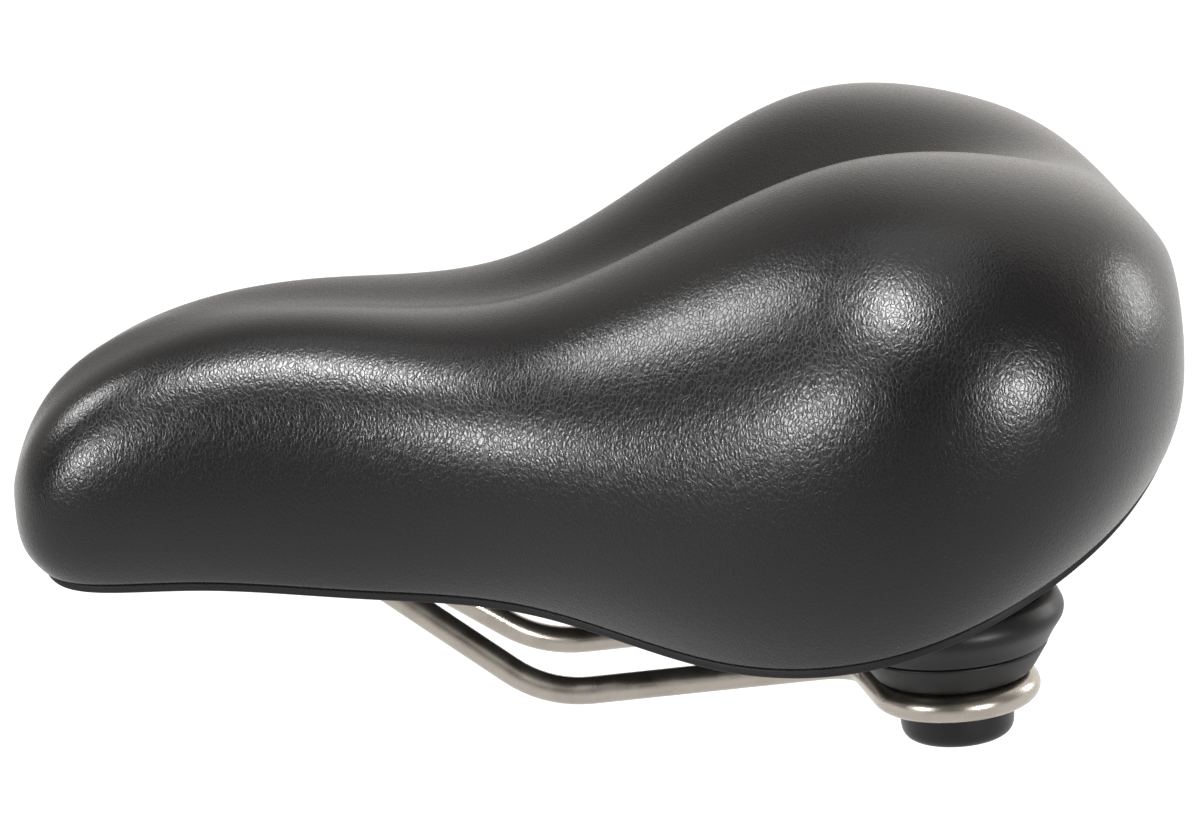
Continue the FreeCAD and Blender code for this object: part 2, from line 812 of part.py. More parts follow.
def rebound_knob(name, eye):
    """The knob under the eye: a neck inside the eye and a pocket for the bolt head."""
    outline = [
        ("knob_pocket_dia / 2", "0"),
        (KNOB_RADIUS, "0"),
        (KNOB_RADIUS, f"{SHOULDER} - knob_bottom"),
        (NECK_RADIUS, f"{SHOULDER} - knob_bottom + knob_taper"),
        (NECK_RADIUS, "knob_neck_top - knob_bottom"),
        (BOLT_HOLE, "knob_neck_top - knob_bottom"),
        (BOLT_HOLE, "knob_pocket_depth"),
        ("knob_pocket_dia / 2", "knob_pocket_depth"),
    ]
    body = turned(f"rebound_knob_{name}", outline, up="knob_bottom", **eye)
    return rounded(body, KNOB_ROUND, evaluate(KNOB_RADIUS), 0)


def ring(kind, name, eye, foot, outer, inner, tall):
    """A washer or a sleeve: one cylinder less another, all sizes bound."""
    tube, hole = (
        primitive("Part::Cylinder", f"{kind}_{part}_{name}", up=foot, Radius=radius, Height=tall, **eye)
        for part, radius in (("outside", outer), ("hole", inner))
    )
    return boolean("Part::Cut", f"{kind}_{name}", tube, hole)


def bolt(name, eye):
    """A socket head bolt, head down in the knob, that reaches through the nut."""
    head = primitive(
        "Part::Cylinder",
        f"bolt_head_{name}",
        up=f"{WASHER_FOOT} - bolt_head_height",
        Radius="bolt_head_dia / 2",
        Height="bolt_head_height",
        **eye,
    )
    shank = primitive(
        "Part::Cylinder",
        f"bolt_shank_{name}",
        up=f"{WASHER_FOOT} - bolt_head_height / 2",
        Radius="bolt_dia / 2",
        Height=f"{NUT_FOOT} + nut_height + bolt_tip - ( {WASHER_FOOT} - bolt_head_height / 2 )",
        **eye,
    )
    socket = primitive(
        "Part::Prism",
        f"bolt_socket_{name}",
        up=f"{WASHER_FOOT} - bolt_head_height",
        Circumradius="bolt_socket_width / sqrt(3)",
        Height="bolt_socket_depth",
        **eye,
    )
    whole = boolean("Part::Fuse", f"bolt_blank_{name}", head, shank)
    return boolean("Part::Cut", f"bolt_{name}", whole, socket)


def nut(name, eye):
    """The hexagon nut in the post of the base."""
    bar = primitive(
        "Part::Prism",
        f"nut_bar_{name}",
        up=NUT_FOOT,
        Circumradius="nut_width / sqrt(3)",
        Height="nut_height",
        **eye,
    )
    hole = primitive(
        "Part::Cylinder",
        f"nut_hole_{name}",
        up=NUT_FOOT,
        Radius="bolt_dia / 2",
        Height="nut_height",
        **eye,
    )
    return boolean("Part::Cut", f"nut_{name}", bar, hole)


SLEEVE_LENGTH = f"{CUP_FOOT} - knob_neck_top"
for name, side in SIDES:
    eye = {"across": f"{side} * {EYE_Y}", "along": "eye_x"}
    stack = {
        "elastomer": elastomer(name, eye),
        "spring_cup": spring_cup(name, eye),
        "rebound_knob": rebound_knob(name, eye),
        "spacer_sleeve": ring(
            "spacer_sleeve", name, eye, "knob_neck_top", "sleeve_dia / 2", BOLT_HOLE, SLEEVE_LENGTH
        ),
        "washer": ring(
            "washer", name, eye, WASHER_FOOT, "washer_dia / 2", BOLT_HOLE, "washer_wall"
        ),
        "bolt": bolt(name, eye),
        "nut": nut(name, eye),
    }
    nodes += [label(made, f"{kind}_{name}") for kind, made in stack.items()]

doc.recompute()


def check(objects):
    bad = []
    for item in doc.Objects:
        if any(flag in item.State for flag in ("Invalid", "Error")):
            bad.append(f"{item.Name} is {item.State}")
    for item in objects:
        shape = item.Shape
        if shape.isNull() or not shape.isValid() or not shape.Solids:
            bad.append(f"{item.Label} has no valid solid")
    return bad


problems = check(nodes)
for item in nodes:
    shape = item.Shape
    print(f"{item.Label:24s} {len(shape.Solids)} solids {shape.Volume:12.1f} mm3 {shape.isValid()}")
if problems:
    print("\n".join(problems))
    sys.exit(1)
os.makedirs("parts", exist_ok=True)
for item in nodes:
    item.Shape.exportStep(f"parts/{item.Label}.step")
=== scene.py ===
import json
import logging
import math
from dataclasses import dataclass, field
from enum import Enum

import bmesh
import bpy
import numpy as np
from mathutils import Matrix, Vector

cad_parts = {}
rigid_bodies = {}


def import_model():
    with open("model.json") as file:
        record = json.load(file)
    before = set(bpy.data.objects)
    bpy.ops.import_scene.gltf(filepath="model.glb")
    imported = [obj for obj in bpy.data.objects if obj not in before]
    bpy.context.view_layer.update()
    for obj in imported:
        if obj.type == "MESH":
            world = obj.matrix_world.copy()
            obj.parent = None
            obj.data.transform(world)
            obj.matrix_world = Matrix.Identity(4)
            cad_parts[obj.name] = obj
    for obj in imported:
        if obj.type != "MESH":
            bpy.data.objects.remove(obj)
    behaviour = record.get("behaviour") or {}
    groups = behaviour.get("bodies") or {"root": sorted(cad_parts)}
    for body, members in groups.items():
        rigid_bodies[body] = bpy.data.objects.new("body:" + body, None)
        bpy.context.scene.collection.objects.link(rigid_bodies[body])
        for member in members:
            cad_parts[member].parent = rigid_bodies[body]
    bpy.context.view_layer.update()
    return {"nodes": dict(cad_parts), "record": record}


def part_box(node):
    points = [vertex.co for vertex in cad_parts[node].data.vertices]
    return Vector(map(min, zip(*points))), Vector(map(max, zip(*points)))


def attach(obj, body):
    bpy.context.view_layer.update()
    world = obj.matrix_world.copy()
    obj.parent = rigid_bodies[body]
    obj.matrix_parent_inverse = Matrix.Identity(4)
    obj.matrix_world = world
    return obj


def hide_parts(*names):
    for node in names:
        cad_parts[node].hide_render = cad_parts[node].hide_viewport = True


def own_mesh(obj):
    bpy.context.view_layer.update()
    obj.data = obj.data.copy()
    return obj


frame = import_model()

log = logging.getLogger("saddle")

MM = 0.001
TAU = 2 * math.pi
Profile = list[tuple[float, float]]


class Body(str, Enum):
    """The two rigid bodies of the saddle."""

    FRAME = "rail_frame"
    SEAT = "seat"


class Side(Enum):
    """Left and right, as the sign of Y."""

    LEFT = 1
    RIGHT = -1

    @property
    def word(self) -> str:
        """The word that ends this side's piece names."""
        return self.name.lower()


# ---------------------------------------------------------------------------------------------
# Mesh workshop
# ---------------------------------------------------------------------------------------------


def middle_of(node: str) -> np.ndarray:
    """The centre of a CAD node's box, in metres."""
    low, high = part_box(node)
    return (np.array(low) + np.array(high)) / 2


def foot_of(node: str) -> np.ndarray:
    """The middle of the underside of a CAD node's box, in metres."""
    low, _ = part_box(node)
    return np.array((*middle_of(node)[:2], low[2]))


def tall_of(node: str) -> float:
    """The height of a CAD node's box, in millimetres."""
    low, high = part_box(node)
    return (high[2] - low[2]) / MM


def add_object(name: str, data: bpy.types.ID) -> bpy.types.Object:
    """Make an object from its data and link it to the scene."""
    made = bpy.data.objects.new(name, data)
    bpy.context.scene.collection.objects.link(made)
    return made


def new_object(name: str, points: np.ndarray, faces=(), edges=()) -> bpy.types.Object:
    """Make a mesh object at the origin from points and faces or edges.

    Args:
        name: name of the piece.
        points: vertex places in metres, one row each.
        faces: vertex numbers of each face.
        edges: vertex numbers of each loose edge.

    Returns:
        The new object, linked to the scene.
    """
    mesh = bpy.data.meshes.new(name)
    mesh.from_pydata([tuple(p) for p in points], edges, faces)
    if faces:
        mesh.validate()
    return add_object(name, mesh)


def weld(piece: bpy.types.Object, reach: float = 1e-6) -> None:
    """Merge points that lie together and turn every face outwards.

    Args:
        piece: the mesh object to clean.
        reach: how near two points must be to become one, in metres.
    """
    work = bmesh.new()
    work.from_mesh(piece.data)
    bmesh.ops.remove_doubles(work, verts=work.verts, dist=reach)
    bmesh.ops.dissolve_degenerate(work, edges=work.edges, dist=reach)
    bmesh.ops.recalc_face_normals(work, faces=work.faces)
    work.to_mesh(piece.data)
    work.free()


def smooth(piece: bpy.types.Object, crease: float = 40) -> None:
    """Shade a piece smooth, apart from edges sharper than an angle.

    Args:
        piece: the mesh object.
        crease: the angle in degrees.
    """
    piece.data.polygons.foreach_set("use_smooth", [True] * len(piece.data.polygons))
    piece.data.set_sharp_from_angle(angle=math.radians(crease))


def strip_faces(rows: int, columns: int, closed: bool) -> list[tuple[int, ...]]:
    """Quads of a grid of points.

    Args:
        rows: how many rows of points there are.
        columns: how many points each row has.
        closed: whether each row joins up with its own start.

    Returns:
        The faces as vertex numbers.
    """
    last = columns if closed else columns - 1
    return [
        (r * columns + c, r * columns + (c + 1) % columns,
         (r + 1) * columns + (c + 1) % columns, (r + 1) * columns + c)
        for r in range(rows - 1)
        for c in range(last)
    ]


def loops_piece(name: str, loops: np.ndarray, reach: float, crease: float) -> bpy.types.Object:
    """Skin a row of closed loops into one solid.

    Args:
        name: name of the piece.
        loops: one closed loop of points for each section, in millimetres.
        reach: how near two points must be to become one, in metres.
        crease: edges sharper than this angle stay sharp, in degrees.

    Returns:
        The solid, closed at both ends by sections that fold flat.
    """
    faces = strip_faces(loops.shape[0], loops.shape[1], closed=True)
    piece = new_object(name, loops.reshape(-1, 3) * MM, faces)
    weld(piece, reach)
    smooth(piece, crease)
    return piece


def rounded_profile(corners: list[tuple[float, float, float]], steps: int = 6) -> Profile:
    """Round the corners of an outline.

    Args:
        corners: (radius from the axis, height, rounding) of each corner, in millimetres.
        steps: points on each rounding.

    Returns:
        The outline's points, in millimetres.
    """
    outline: Profile = []
    count = len(corners)
    for index, (x, y, rounding) in enumerate(corners):
        here = np.array((x, y))
        before = np.array(corners[index - 1][:2])
        after = np.array(corners[(index + 1) % count][:2])
        if rounding <= 0:
            outline.append((x, y))
            continue
        back = before - here
        ahead = after - here
        trim = min(rounding, 0.49 * np.linalg.norm(back), 0.49 * np.linalg.norm(ahead))
        start = here + back / np.linalg.norm(back) * trim
        end = here + ahead / np.linalg.norm(ahead) * trim
        for step in range(steps + 1):
            share = step / steps
            point = (1 - share) ** 2 * start + 2 * share * (1 - share) * here + share**2 * end
            outline.append((float(point[0]), float(point[1])))
    return outline


def turned_piece(
    name: str, outline: Profile, foot: np.ndarray, sides: int = 96
) -> bpy.types.Object:
    """Turn a closed outline about an upright axis.

    Args:
        name: name of the piece.
        outline: closed outline as (radius, height) in millimetres.
        foot: where the axis stands at height 0, in metres.
        sides: how many steps go round.

    Returns:
        The turned piece.
    """
    angles = np.arange(sides) * TAU / sides
    ring = np.array(outline) * MM
    grid = np.stack(
        [
            np.outer(np.cos(angles), ring[:, 0]),
            np.outer(np.sin(angles), ring[:, 0]),
            np.tile(ring[:, 1], (sides, 1)),
        ],
        axis=-1,
    )
    points = grid.reshape(-1, 3) + foot
    count = len(outline)
    last = (sides - 1) * count
    faces = strip_faces(sides, count, closed=True)
    faces += [(last + c, last + (c + 1) % count, (c + 1) % count, c) for c in range(count)]
    piece = new_object(name, points, faces)
    weld(piece)
    smooth(piece, crease=35)
    return piece


def finished_copy(name: str, node: str, bevel: float, crease: float = 30) -> bpy.types.Object:
    """Copy a CAD node's mesh and break its edges, to stand in its place.

    Args:
        name: name of the piece.
        node: the CAD node to copy.
        bevel: width of the broken edge, in millimetres.
        crease: edges sharper than this angle are broken, in degrees.

    Returns:
        The finished copy, with its modifier applied.
    """
    mesh = frame["nodes"][node].data.copy()
    mesh.name = name
    mesh.materials.clear()
    piece = add_object(name, mesh)
    weld(piece, reach=2e-6)
    work = bmesh.new()
    work.from_mesh(mesh)
    bmesh.ops.dissolve_limit(
        work, angle_limit=math.radians(1), verts=work.verts, edges=work.edges
    )
    work.to_mesh(mesh)
    work.free()
    broken = piece.modifiers.new("broken_edges", "BEVEL")
    broken.width = bevel * MM
    broken.segments = 2
    broken.limit_method = "ANGLE"
    broken.angle_limit = math.radians(crease)
    broken.use_clamp_overlap = True
    bake_modifiers(piece)
    smooth(piece, crease)
    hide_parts(node)
    return piece


def bake_modifiers(piece: bpy.types.Object) -> None:
    """Turn a piece's modifiers into plain mesh and remove them."""
    bpy.context.view_layer.update()
    shown = piece.evaluated_get(bpy.context.evaluated_depsgraph_get())
    mesh = bpy.data.meshes.new_from_object(shown)
    mesh.name = piece.name
    piece.modifiers.clear()
    piece.data = mesh


def cut_out(piece: bpy.types.Object, cutter: bpy.types.Object) -> None:
    """Cut one mesh out of another and throw the cutter away."""
    cut = piece.modifiers.new("cut", "BOOLEAN")
    cut.operation = "DIFFERENCE"
    cut.solver = "EXACT"
    cut.object = cutter
    bake_modifiers(piece)
    bpy.data.objects.remove(cutter, do_unlink=True)


def polyline_object(
    name: str, runs: list[np.ndarray], widths: list[np.ndarray]
) -> bpy.types.Object:
    """Edges along one or more paths, with a width at each point.

    Args:
        name: name of the object.
        runs: the paths, in metres.
        widths: the width factor at each point of each path.

    Returns:
        A mesh object of edges only.
    """
    edges: list[tuple[int, int]] = []
    start = 0
    for run in runs:
        edges += [(start + i, start + i + 1) for i in range(len(run) - 1)]
        start += len(run)
    made = new_object(name, np.concatenate(runs), edges=edges)
    width = made.data.attributes.new("width", "FLOAT", "POINT")
    width.data.foreach_set("value", np.concatenate(widths).astype(np.float32))
    return made


def add_node(
    tree: bpy.types.NodeTree, kind: str, links: dict | None = None, **settings
) -> bpy.types.Node:
    """Add a node to a tree, set it up and feed its inputs.

    Args:
        tree: the node tree.
        kind: the node's Blender type.
        links: what feeds each input, by name or number: another socket, or a plain value.
        settings: properties to set on the node.

    Returns:
        The node.
    """
    made = tree.nodes.new(kind)
    for key, value in settings.items():
        setattr(made, key, value)
    for key, value in (links or {}).items():
        if isinstance(value, bpy.types.NodeSocket):
            tree.links.new(value, made.inputs[key])
        else:
            made.inputs[key].default_value = value
    return made


def eased_range(
    tree: bpy.types.NodeTree,
    value: bpy.types.NodeSocket,
    span: tuple[float, float],
    levels: tuple[float, float] = (0.0, 1.0),
) -> bpy.types.NodeSocket:
    """Turn a value that crosses a span into a number that eases between two levels."""
    links = {"Value": value, "From Min": span[0], "From Max": span[1]}
    links |= {"To Min": levels[0], "To Max": levels[1]}
    made = add_node(tree, "ShaderNodeMapRange", links, interpolation_type="SMOOTHSTEP")
    return made.outputs["Result"]


class TreeBuilder:
    """Something that builds one node tree."""

    tree: bpy.types.NodeTree

    def node(self, kind: str, links: dict | None = None, **settings) -> bpy.types.Node:
        """Add a node to the tree, as add_node does."""
        return add_node(self.tree, kind, links, **settings)


# ---------------------------------------------------------------------------------------------
# Geometry Nodes
# ---------------------------------------------------------------------------------------------


class GeometryTree(TreeBuilder):
    """A geometry node tree with named inputs, run on one piece at a time."""

    def __init__(self, name: str, source: str, **inputs: str) -> None:
        """Make the tree and its sockets.

        Args:
            name: name of the tree.
            source: name of the geometry that goes in.
            inputs: each further input and its kind of socket.
        """
        self.tree = bpy.data.node_groups.new(name, "GeometryNodeTree")
        face = self.tree.interface
        face.new_socket("Geometry", in_out="OUTPUT", socket_type="NodeSocketGeometry")
        face.new_socket(source, in_out="INPUT", socket_type="NodeSocketGeometry")
        self.ids = {}
        for label, kind in inputs.items():
            made = face.new_socket(label, in_out="INPUT", socket_type=f"NodeSocket{kind}")
            self.ids[label] = made.identifier
        self.given = self.node("NodeGroupInput").outputs

    def close(self, geometry: bpy.types.NodeSocket) -> None:
        """End the tree: real geometry, dressed in the Finish input."""
        whole = self.node("GeometryNodeRealizeInstances", {"Geometry": geometry})
        dressed = self.node(
            "GeometryNodeSetMaterial",
            {"Geometry": whole.outputs["Geometry"], "Material": self.given["Finish"]},
        )
        self.node("NodeGroupOutput", {"Geometry": dressed.outputs["Geometry"]})

    def run(self, piece: bpy.types.Object, tool: bpy.types.Object, **values) -> None:
        """Run the tree on a piece, leave a plain mesh and throw the tool away.

        Args:
            piece: the object that goes in.
            tool: the object that one of the inputs names.
            values: the inputs.
        """
        modifier = piece.modifiers.new(self.tree.name, "NODES")
        modifier.node_group = self.tree
        for label, value in values.items():
            modifier[self.ids[label]] = value
        bake_modifiers(piece)
        bpy.data.objects.remove(tool, do_unlink=True)


class SweepTree(GeometryTree):
    """Sweeps a profile along every path of an object: the wire frame and the ribs."""

    def __init__(self) -> None:
        """Build the tree once."""
        super().__init__("sweep_profile", "Paths", Profile="Object", Finish="Material")
        curve = self.node("GeometryNodeMeshToCurve", {"Mesh": self.given["Paths"]})
        upright = self.node(
            "GeometryNodeSetCurveNormal", {"Curve": curve.outputs["Curve"]}, mode="Z_UP"
        )
        named = self.node("GeometryNodeInputNamedAttribute", {"Name": "width"}, data_type="FLOAT")
        width = named.outputs["Attribute"]
        scaled = self.node(
            "GeometryNodeSetCurveRadius", {"Curve": upright.outputs["Curve"], "Radius": width}
        )
        shape = self.node("GeometryNodeObjectInfo", {"Object": self.given["Profile"]})
        swept = self.node(
            "GeometryNodeCurveToMesh",
            {
                "Curve": scaled.outputs["Curve"],
                "Profile Curve": shape.outputs["Geometry"],
                "Fill Caps": True,
            },
        )
        if "Scale" in swept.inputs:
            self.tree.links.new(width, swept.inputs["Scale"])
        self.close(swept.outputs["Mesh"])

    def sweep(
        self, paths: bpy.types.Object, outline: Profile, finish: bpy.types.Material
    ) -> bpy.types.Object:
        """Sweep an outline along an object's paths and leave a plain mesh.

        Args:
            paths: mesh object of edges with a width attribute.
            outline: closed outline of the section, in millimetres.
            finish: the material.

        Returns:
            The same object, now a solid mesh.
        """
        curve = bpy.data.curves.new("section", "CURVE")
        spline = curve.splines.new("POLY")
        spline.points.add(len(outline) - 1)
        for point, (x, y) in zip(spline.points, outline):
            point.co = (x * MM, y * MM, 0, 1)
        spline.use_cyclic_u = True
        section = add_object("section", curve)
        self.run(paths, section, Profile=section, Finish=finish)
        weld(paths)
        return paths


class PlacingTree(GeometryTree):
    """Sets copies of one piece on the points of another: screws, bolts, washers and nuts."""

    def __init__(self) -> None:
        """Build the tree once."""
        super().__init__(
            "set_on_points", "Points", Part="Object", Finish="Material", Turn="Float"
        )
        shape = self.node("GeometryNodeObjectInfo", {"Object": self.given["Part"]})
        number = self.node("GeometryNodeInputIndex")
        angle = self.node(
            "ShaderNodeMath",
            {0: number.outputs["Index"], 1: self.given["Turn"]},
            operation="MULTIPLY",
        )
        axis = self.node("ShaderNodeCombineXYZ", {"Z": angle.outputs["Value"]})
        copies = self.node(
            "GeometryNodeInstanceOnPoints",
            {
                "Points": self.given["Points"],
                "Instance": shape.outputs["Geometry"],
                "Rotation": axis.outputs["Vector"],
            },
        )
        self.close(copies.outputs["Instances"])

    def place(
        self,
        name: str,
        spots: list[np.ndarray],
        part: bpy.types.Object,
        finish: bpy.types.Material,
        turn: float,
    ) -> bpy.types.Object:
        """Set a copy of a part on each spot, and throw the pattern part away.

        Args:
            name: name of the finished piece.
            spots: where the copies stand, in metres.
            part: the pattern, modelled at the origin.
            finish: the material.
            turn: how much further each copy is turned about Z than the last, in radians.

        Returns:
            One plain mesh object holding every copy.
        """
        piece = new_object(name, spots)
        self.run(piece, part, Part=part, Finish=finish, Turn=turn)
        smooth(piece, crease=35)
        return piece


# ---------------------------------------------------------------------------------------------
# Finishes
# ---------------------------------------------------------------------------------------------


class ShaderGroup(TreeBuilder):
    """A shader node group under construction."""

    def __init__(self, name: str, inputs: dict[str, float], outputs: tuple[str, ...]) -> None:
        """Make the group with its named inputs and outputs.

        Args:
            name: name of the group.
            inputs: each input and its default.
            outputs: names of the outputs.
        """
        self.tree = bpy.data.node_groups.new(name, "ShaderNodeTree")
        self.tree.interface.new_socket("Vector", in_out="INPUT", socket_type="NodeSocketVector")
        for label, value in inputs.items():
            made = self.tree.interface.new_socket(
                label, in_out="INPUT", socket_type="NodeSocketFloat"
            )
            made.default_value = value
        for label in outputs:
            self.tree.interface.new_socket(label, in_out="OUTPUT", socket_type="NodeSocketFloat")
        self.start = self.tree.nodes.new("NodeGroupInput")
        self.end = self.tree.nodes.new("NodeGroupOutput")

    def give(self, output: str, source: bpy.types.NodeSocket) -> None:
        """Feed one of the group's outputs."""
        self.tree.links.new(source, self.end.inputs[output])

    def math(self, operation: str, *values) -> bpy.types.NodeSocket:
        """Add a Math node and return its result."""
        made = self.node("ShaderNodeMath", dict(enumerate(values)), operation=operation)
        return made.outputs[0]


def leather_grain() -> bpy.types.NodeTree:
    """Pebbled grain: small rounded pebbles, drawn out and parted by soft creases.

    Returns:
        A group with Height and Crease outputs.
    """
    group = ShaderGroup("leather_grain", {"Cells": 900.0}, ("Height", "Crease"))
    place = group.start.outputs["Vector"]
    wander, stretch = 0.0022, (1.2, 1.0, 0.68)
    drift = group.node(
        "ShaderNodeTexNoise", {"Vector": place, "Scale": 300.0, "Detail": 3.0, "Roughness": 0.6}
    )
    centred = group.node(
        "ShaderNodeVectorMath",
        {0: drift.outputs["Color"], 1: (0.5, 0.5, 0.5)},
        operation="SUBTRACT",
    )
    shift = group.node(
        "ShaderNodeVectorMath",
        {0: centred.outputs["Vector"], "Scale": wander},
        operation="SCALE",
    )
    moved = group.node(
        "ShaderNodeVectorMath", {0: place, 1: shift.outputs["Vector"]}, operation="ADD"
    )
    drawn_out = group.node(
        "ShaderNodeVectorMath", {0: moved.outputs["Vector"], 1: stretch}, operation="MULTIPLY"
    )
    pebbles = group.node(
        "ShaderNodeTexVoronoi",
        {"Vector": drawn_out.outputs["Vector"], "Scale": group.start.outputs["Cells"]},
        feature="DISTANCE_TO_EDGE",
    )
    crease = group.node(
        "ShaderNodeMapRange", {"Value": pebbles.outputs["Distance"], "From Max": 0.12}
    )
    dome = group.node(
        "ShaderNodeMapRange", {"Value": pebbles.outputs["Distance"], "From Max": 0.5}
    )
    rounded = group.math("POWER", dome.outputs["Result"], 0.65)
    wrinkle = group.node(
        "ShaderNodeTexNoise",
        {"Vector": drawn_out.outputs["Vector"], "Scale": 1150.0, "Detail": 2.0, "Roughness": 0.5},
    )
    slow = group.node("ShaderNodeTexNoise", {"Vector": place, "Scale": 260.0, "Detail": 1.0})
    pebble = group.math("MULTIPLY", rounded, 0.55)
    fold = group.math("MULTIPLY", wrinkle.outputs["Fac"], 0.55)
    rolling = group.math("MULTIPLY", slow.outputs["Fac"], 0.35)
    height = group.math("ADD", group.math("ADD", pebble, fold), rolling)
    group.give("Height", height)
    group.give("Crease", crease.outputs["Result"])
    return group.tree


def fine_texture() -> bpy.types.NodeTree:
    """The fine sparkle-free texture of a mould or a blasted surface.

    Returns:
        A group with Height and Cloud outputs, Cloud being a slow patchiness.
    """
    group = ShaderGroup("fine_texture", {"Pits": 3000.0, "Patches": 60.0}, ("Height", "Cloud"))
    place = group.start.outputs["Vector"]
    pits = group.node(
        "ShaderNodeTexNoise",
        {"Vector": place, "Scale": group.start.outputs["Pits"], "Detail": 2.0, "Roughness": 0.6},
    )
    patches = group.node(
        "ShaderNodeTexNoise",
        {"Vector": place, "Scale": group.start.outputs["Patches"], "Detail": 3.0},
    )
    cloud = group.node(
        "ShaderNodeMapRange",
        {"Value": patches.outputs["Fac"], "From Min": 0.3, "From Max": 0.7},
    )
    group.give("Height", pits.outputs["Fac"])
    group.give("Cloud", cloud.outputs["Result"])
    return group.tree


def handling_marks() -> bpy.types.NodeTree:
    """Faint smudges, scuffs and dust, as one mask.

    Returns:
        A group with a Mask output.
    """
    group = ShaderGroup("handling_marks", {"Spread": 22.0, "Amount": 0.5}, ("Mask",))
    place = group.start.outputs["Vector"]
    smudge = group.node(
        "ShaderNodeTexNoise",
        {"Vector": place, "Scale": group.start.outputs["Spread"], "Detail": 5.0, "Roughness": 0.6},
    )
    patch = eased_range(group.tree, smudge.outputs["Fac"], (0.42, 0.68))
    mask = group.math("MULTIPLY", patch, group.start.outputs["Amount"])
    group.give("Mask", mask)
    return group.tree


@dataclass
class Effects:
    """The shader groups that several finishes share, built once."""

    grain: bpy.types.NodeTree = field(default_factory=leather_grain)
    texture: bpy.types.NodeTree = field(default_factory=fine_texture)
    marks: bpy.types.NodeTree = field(default_factory=handling_marks)


class Sheet(TreeBuilder):
    """A material being made: one Principled shader and what feeds it."""

    def __init__(self, name: str, **plain: float | tuple[float, ...]) -> None:
        """Start a material.

        Args:
            name: name of the material.
            plain: numbers and colours set straight on the shader, by socket, _ for a space.
        """
        self.material = bpy.data.materials.new(name)
        self.material.use_nodes = True
        self.tree = self.material.node_tree
        self.shader = self.tree.nodes["Principled BSDF"]
        for key, value in plain.items():
            self.shader.inputs[key.replace("_", " ")].default_value = value
        self.place = self.node("ShaderNodeTexCoord").outputs["Object"]

    def group(self, tree: bpy.types.NodeTree, **values: float) -> bpy.types.Node:
        """Place a shader group with its own values.

        Args:
            tree: the group.
            values: its inputs.

        Returns:
            The group node.
        """
        made = self.node("ShaderNodeGroup", node_tree=tree)
        self.tree.links.new(self.place, made.inputs["Vector"])
        for key, value in values.items():
            made.inputs[key].default_value = value
        return made

    def blend(self, share: bpy.types.NodeSocket, first, second) -> bpy.types.NodeSocket:
        """Mix two colours by a mask and return the mixed colour."""
        mix = self.node("ShaderNodeMix", data_type="RGBA")
        self.tree.links.new(share, mix.inputs[0])
        for index, colour in ((6, first), (7, second)):
            if isinstance(colour, bpy.types.NodeSocket):
                self.tree.links.new(colour, mix.inputs[index])
            else:
                mix.inputs[index].default_value = (*colour, 1.0)
        return mix.outputs[2]

    def between(self, share: bpy.types.NodeSocket, low: float, high: float):
        """Turn a mask of 0 to 1 into a number from low to high."""
        made = self.node("ShaderNodeMapRange", {"Value": share, "To Min": low, "To Max": high})
        return made.outputs["Result"]

    def feed(self, socket: str, source: bpy.types.NodeSocket) -> None:
        """Feed one of the shader's sockets."""
        self.tree.links.new(source, self.shader.inputs[socket])

    def bump(self, height: bpy.types.NodeSocket, depth: float) -> bpy.types.NodeSocket:
        """Add relief to a depth in millimetres, from a mask of 0 to 1, and return its normal."""
        links = {"Height": height, "Distance": depth * MM, "Strength": 1.0}
        return self.node("ShaderNodeBump", links).outputs["Normal"]

    def textured(
        self,
        texture: bpy.types.Node,
        mask: bpy.types.NodeSocket,
        colours: tuple[tuple[float, ...], tuple[float, ...]],
        shine: tuple[float, float],
        depth: float,
    ) -> bpy.types.Material:
        """Feed colour, roughness and relief, and return the finished material.

        Args:
            texture: a fine_texture group in this material.
            mask: what blends the two colours.
            colours: the two colours.
            shine: the roughness where the texture is clear and where it is cloudy.
            depth: depth of the relief, in millimetres.
        """
        self.feed("Base Color", self.blend(mask, *colours))
        self.feed("Roughness", self.between(texture.outputs["Cloud"], *shine))
        self.feed("Normal", self.bump(texture.outputs["Height"], depth))
        return self.material


@dataclass(frozen=True)
class LeatherFinish:
    """Black synthetic leather with a fine pebbled grain, and painted shade in the grain's creases.
    """

    dark: tuple[float, float, float] = (0.0084, 0.0074, 0.0084)
    light: tuple[float, float, float] = (0.0120, 0.0106, 0.0104)
    grain_depth: float = 0.07
    cells: float = 900.0
    crease_shade: float = 0.8
    shine: tuple[float, float] = (0.33, 0.25)

    def make(self, effects: Effects) -> bpy.types.Material:
        """Build the material from the shared effects."""
        sheet = Sheet("cover_leather", Specular_IOR_Level=0.4)
        grain = sheet.group(effects.grain, Cells=self.cells)
        marks = sheet.group(effects.marks, Spread=26.0, Amount=0.7)
        skin = sheet.blend(marks.outputs["Mask"], self.dark, self.light)
        crease = grain.outputs["Crease"]
        # Painted shade: the grain's creases get a darker base colour, crease_shade times the dark
        # tone.
        deep = tuple(self.crease_shade * c for c in self.dark)
        sheet.feed("Base Color", sheet.blend(crease, deep, skin))
        sheet.feed("Roughness", sheet.between(crease, *self.shine))
        sheet.feed("Normal", sheet.bump(grain.outputs["Height"], self.grain_depth))
        return sheet.material


@dataclass(frozen=True)
class MouldedFinish:
    """Black moulded plastic or rubber with a fine mould texture."""

    name: str
    dark: tuple[float, float, float] = (0.0060, 0.0058, 0.0062)
    light: tuple[float, float, float] = (0.0100, 0.0096, 0.0092)
    shine: tuple[float, float] = (0.42, 0.54)
    depth: float = 0.03
    pits: float = 2600.0

    def make(self, effects: Effects) -> bpy.types.Material:
        """Build the material from the shared effects."""
        sheet = Sheet(self.name, Specular_IOR_Level=0.28)
        texture = sheet.group(effects.texture, Pits=self.pits, Patches=70.0)
        marks = sheet.group(effects.marks, Spread=48.0, Amount=0.6)
        colours = (self.dark, self.light)
        return sheet.textured(texture, marks.outputs["Mask"], colours, self.shine, self.depth)


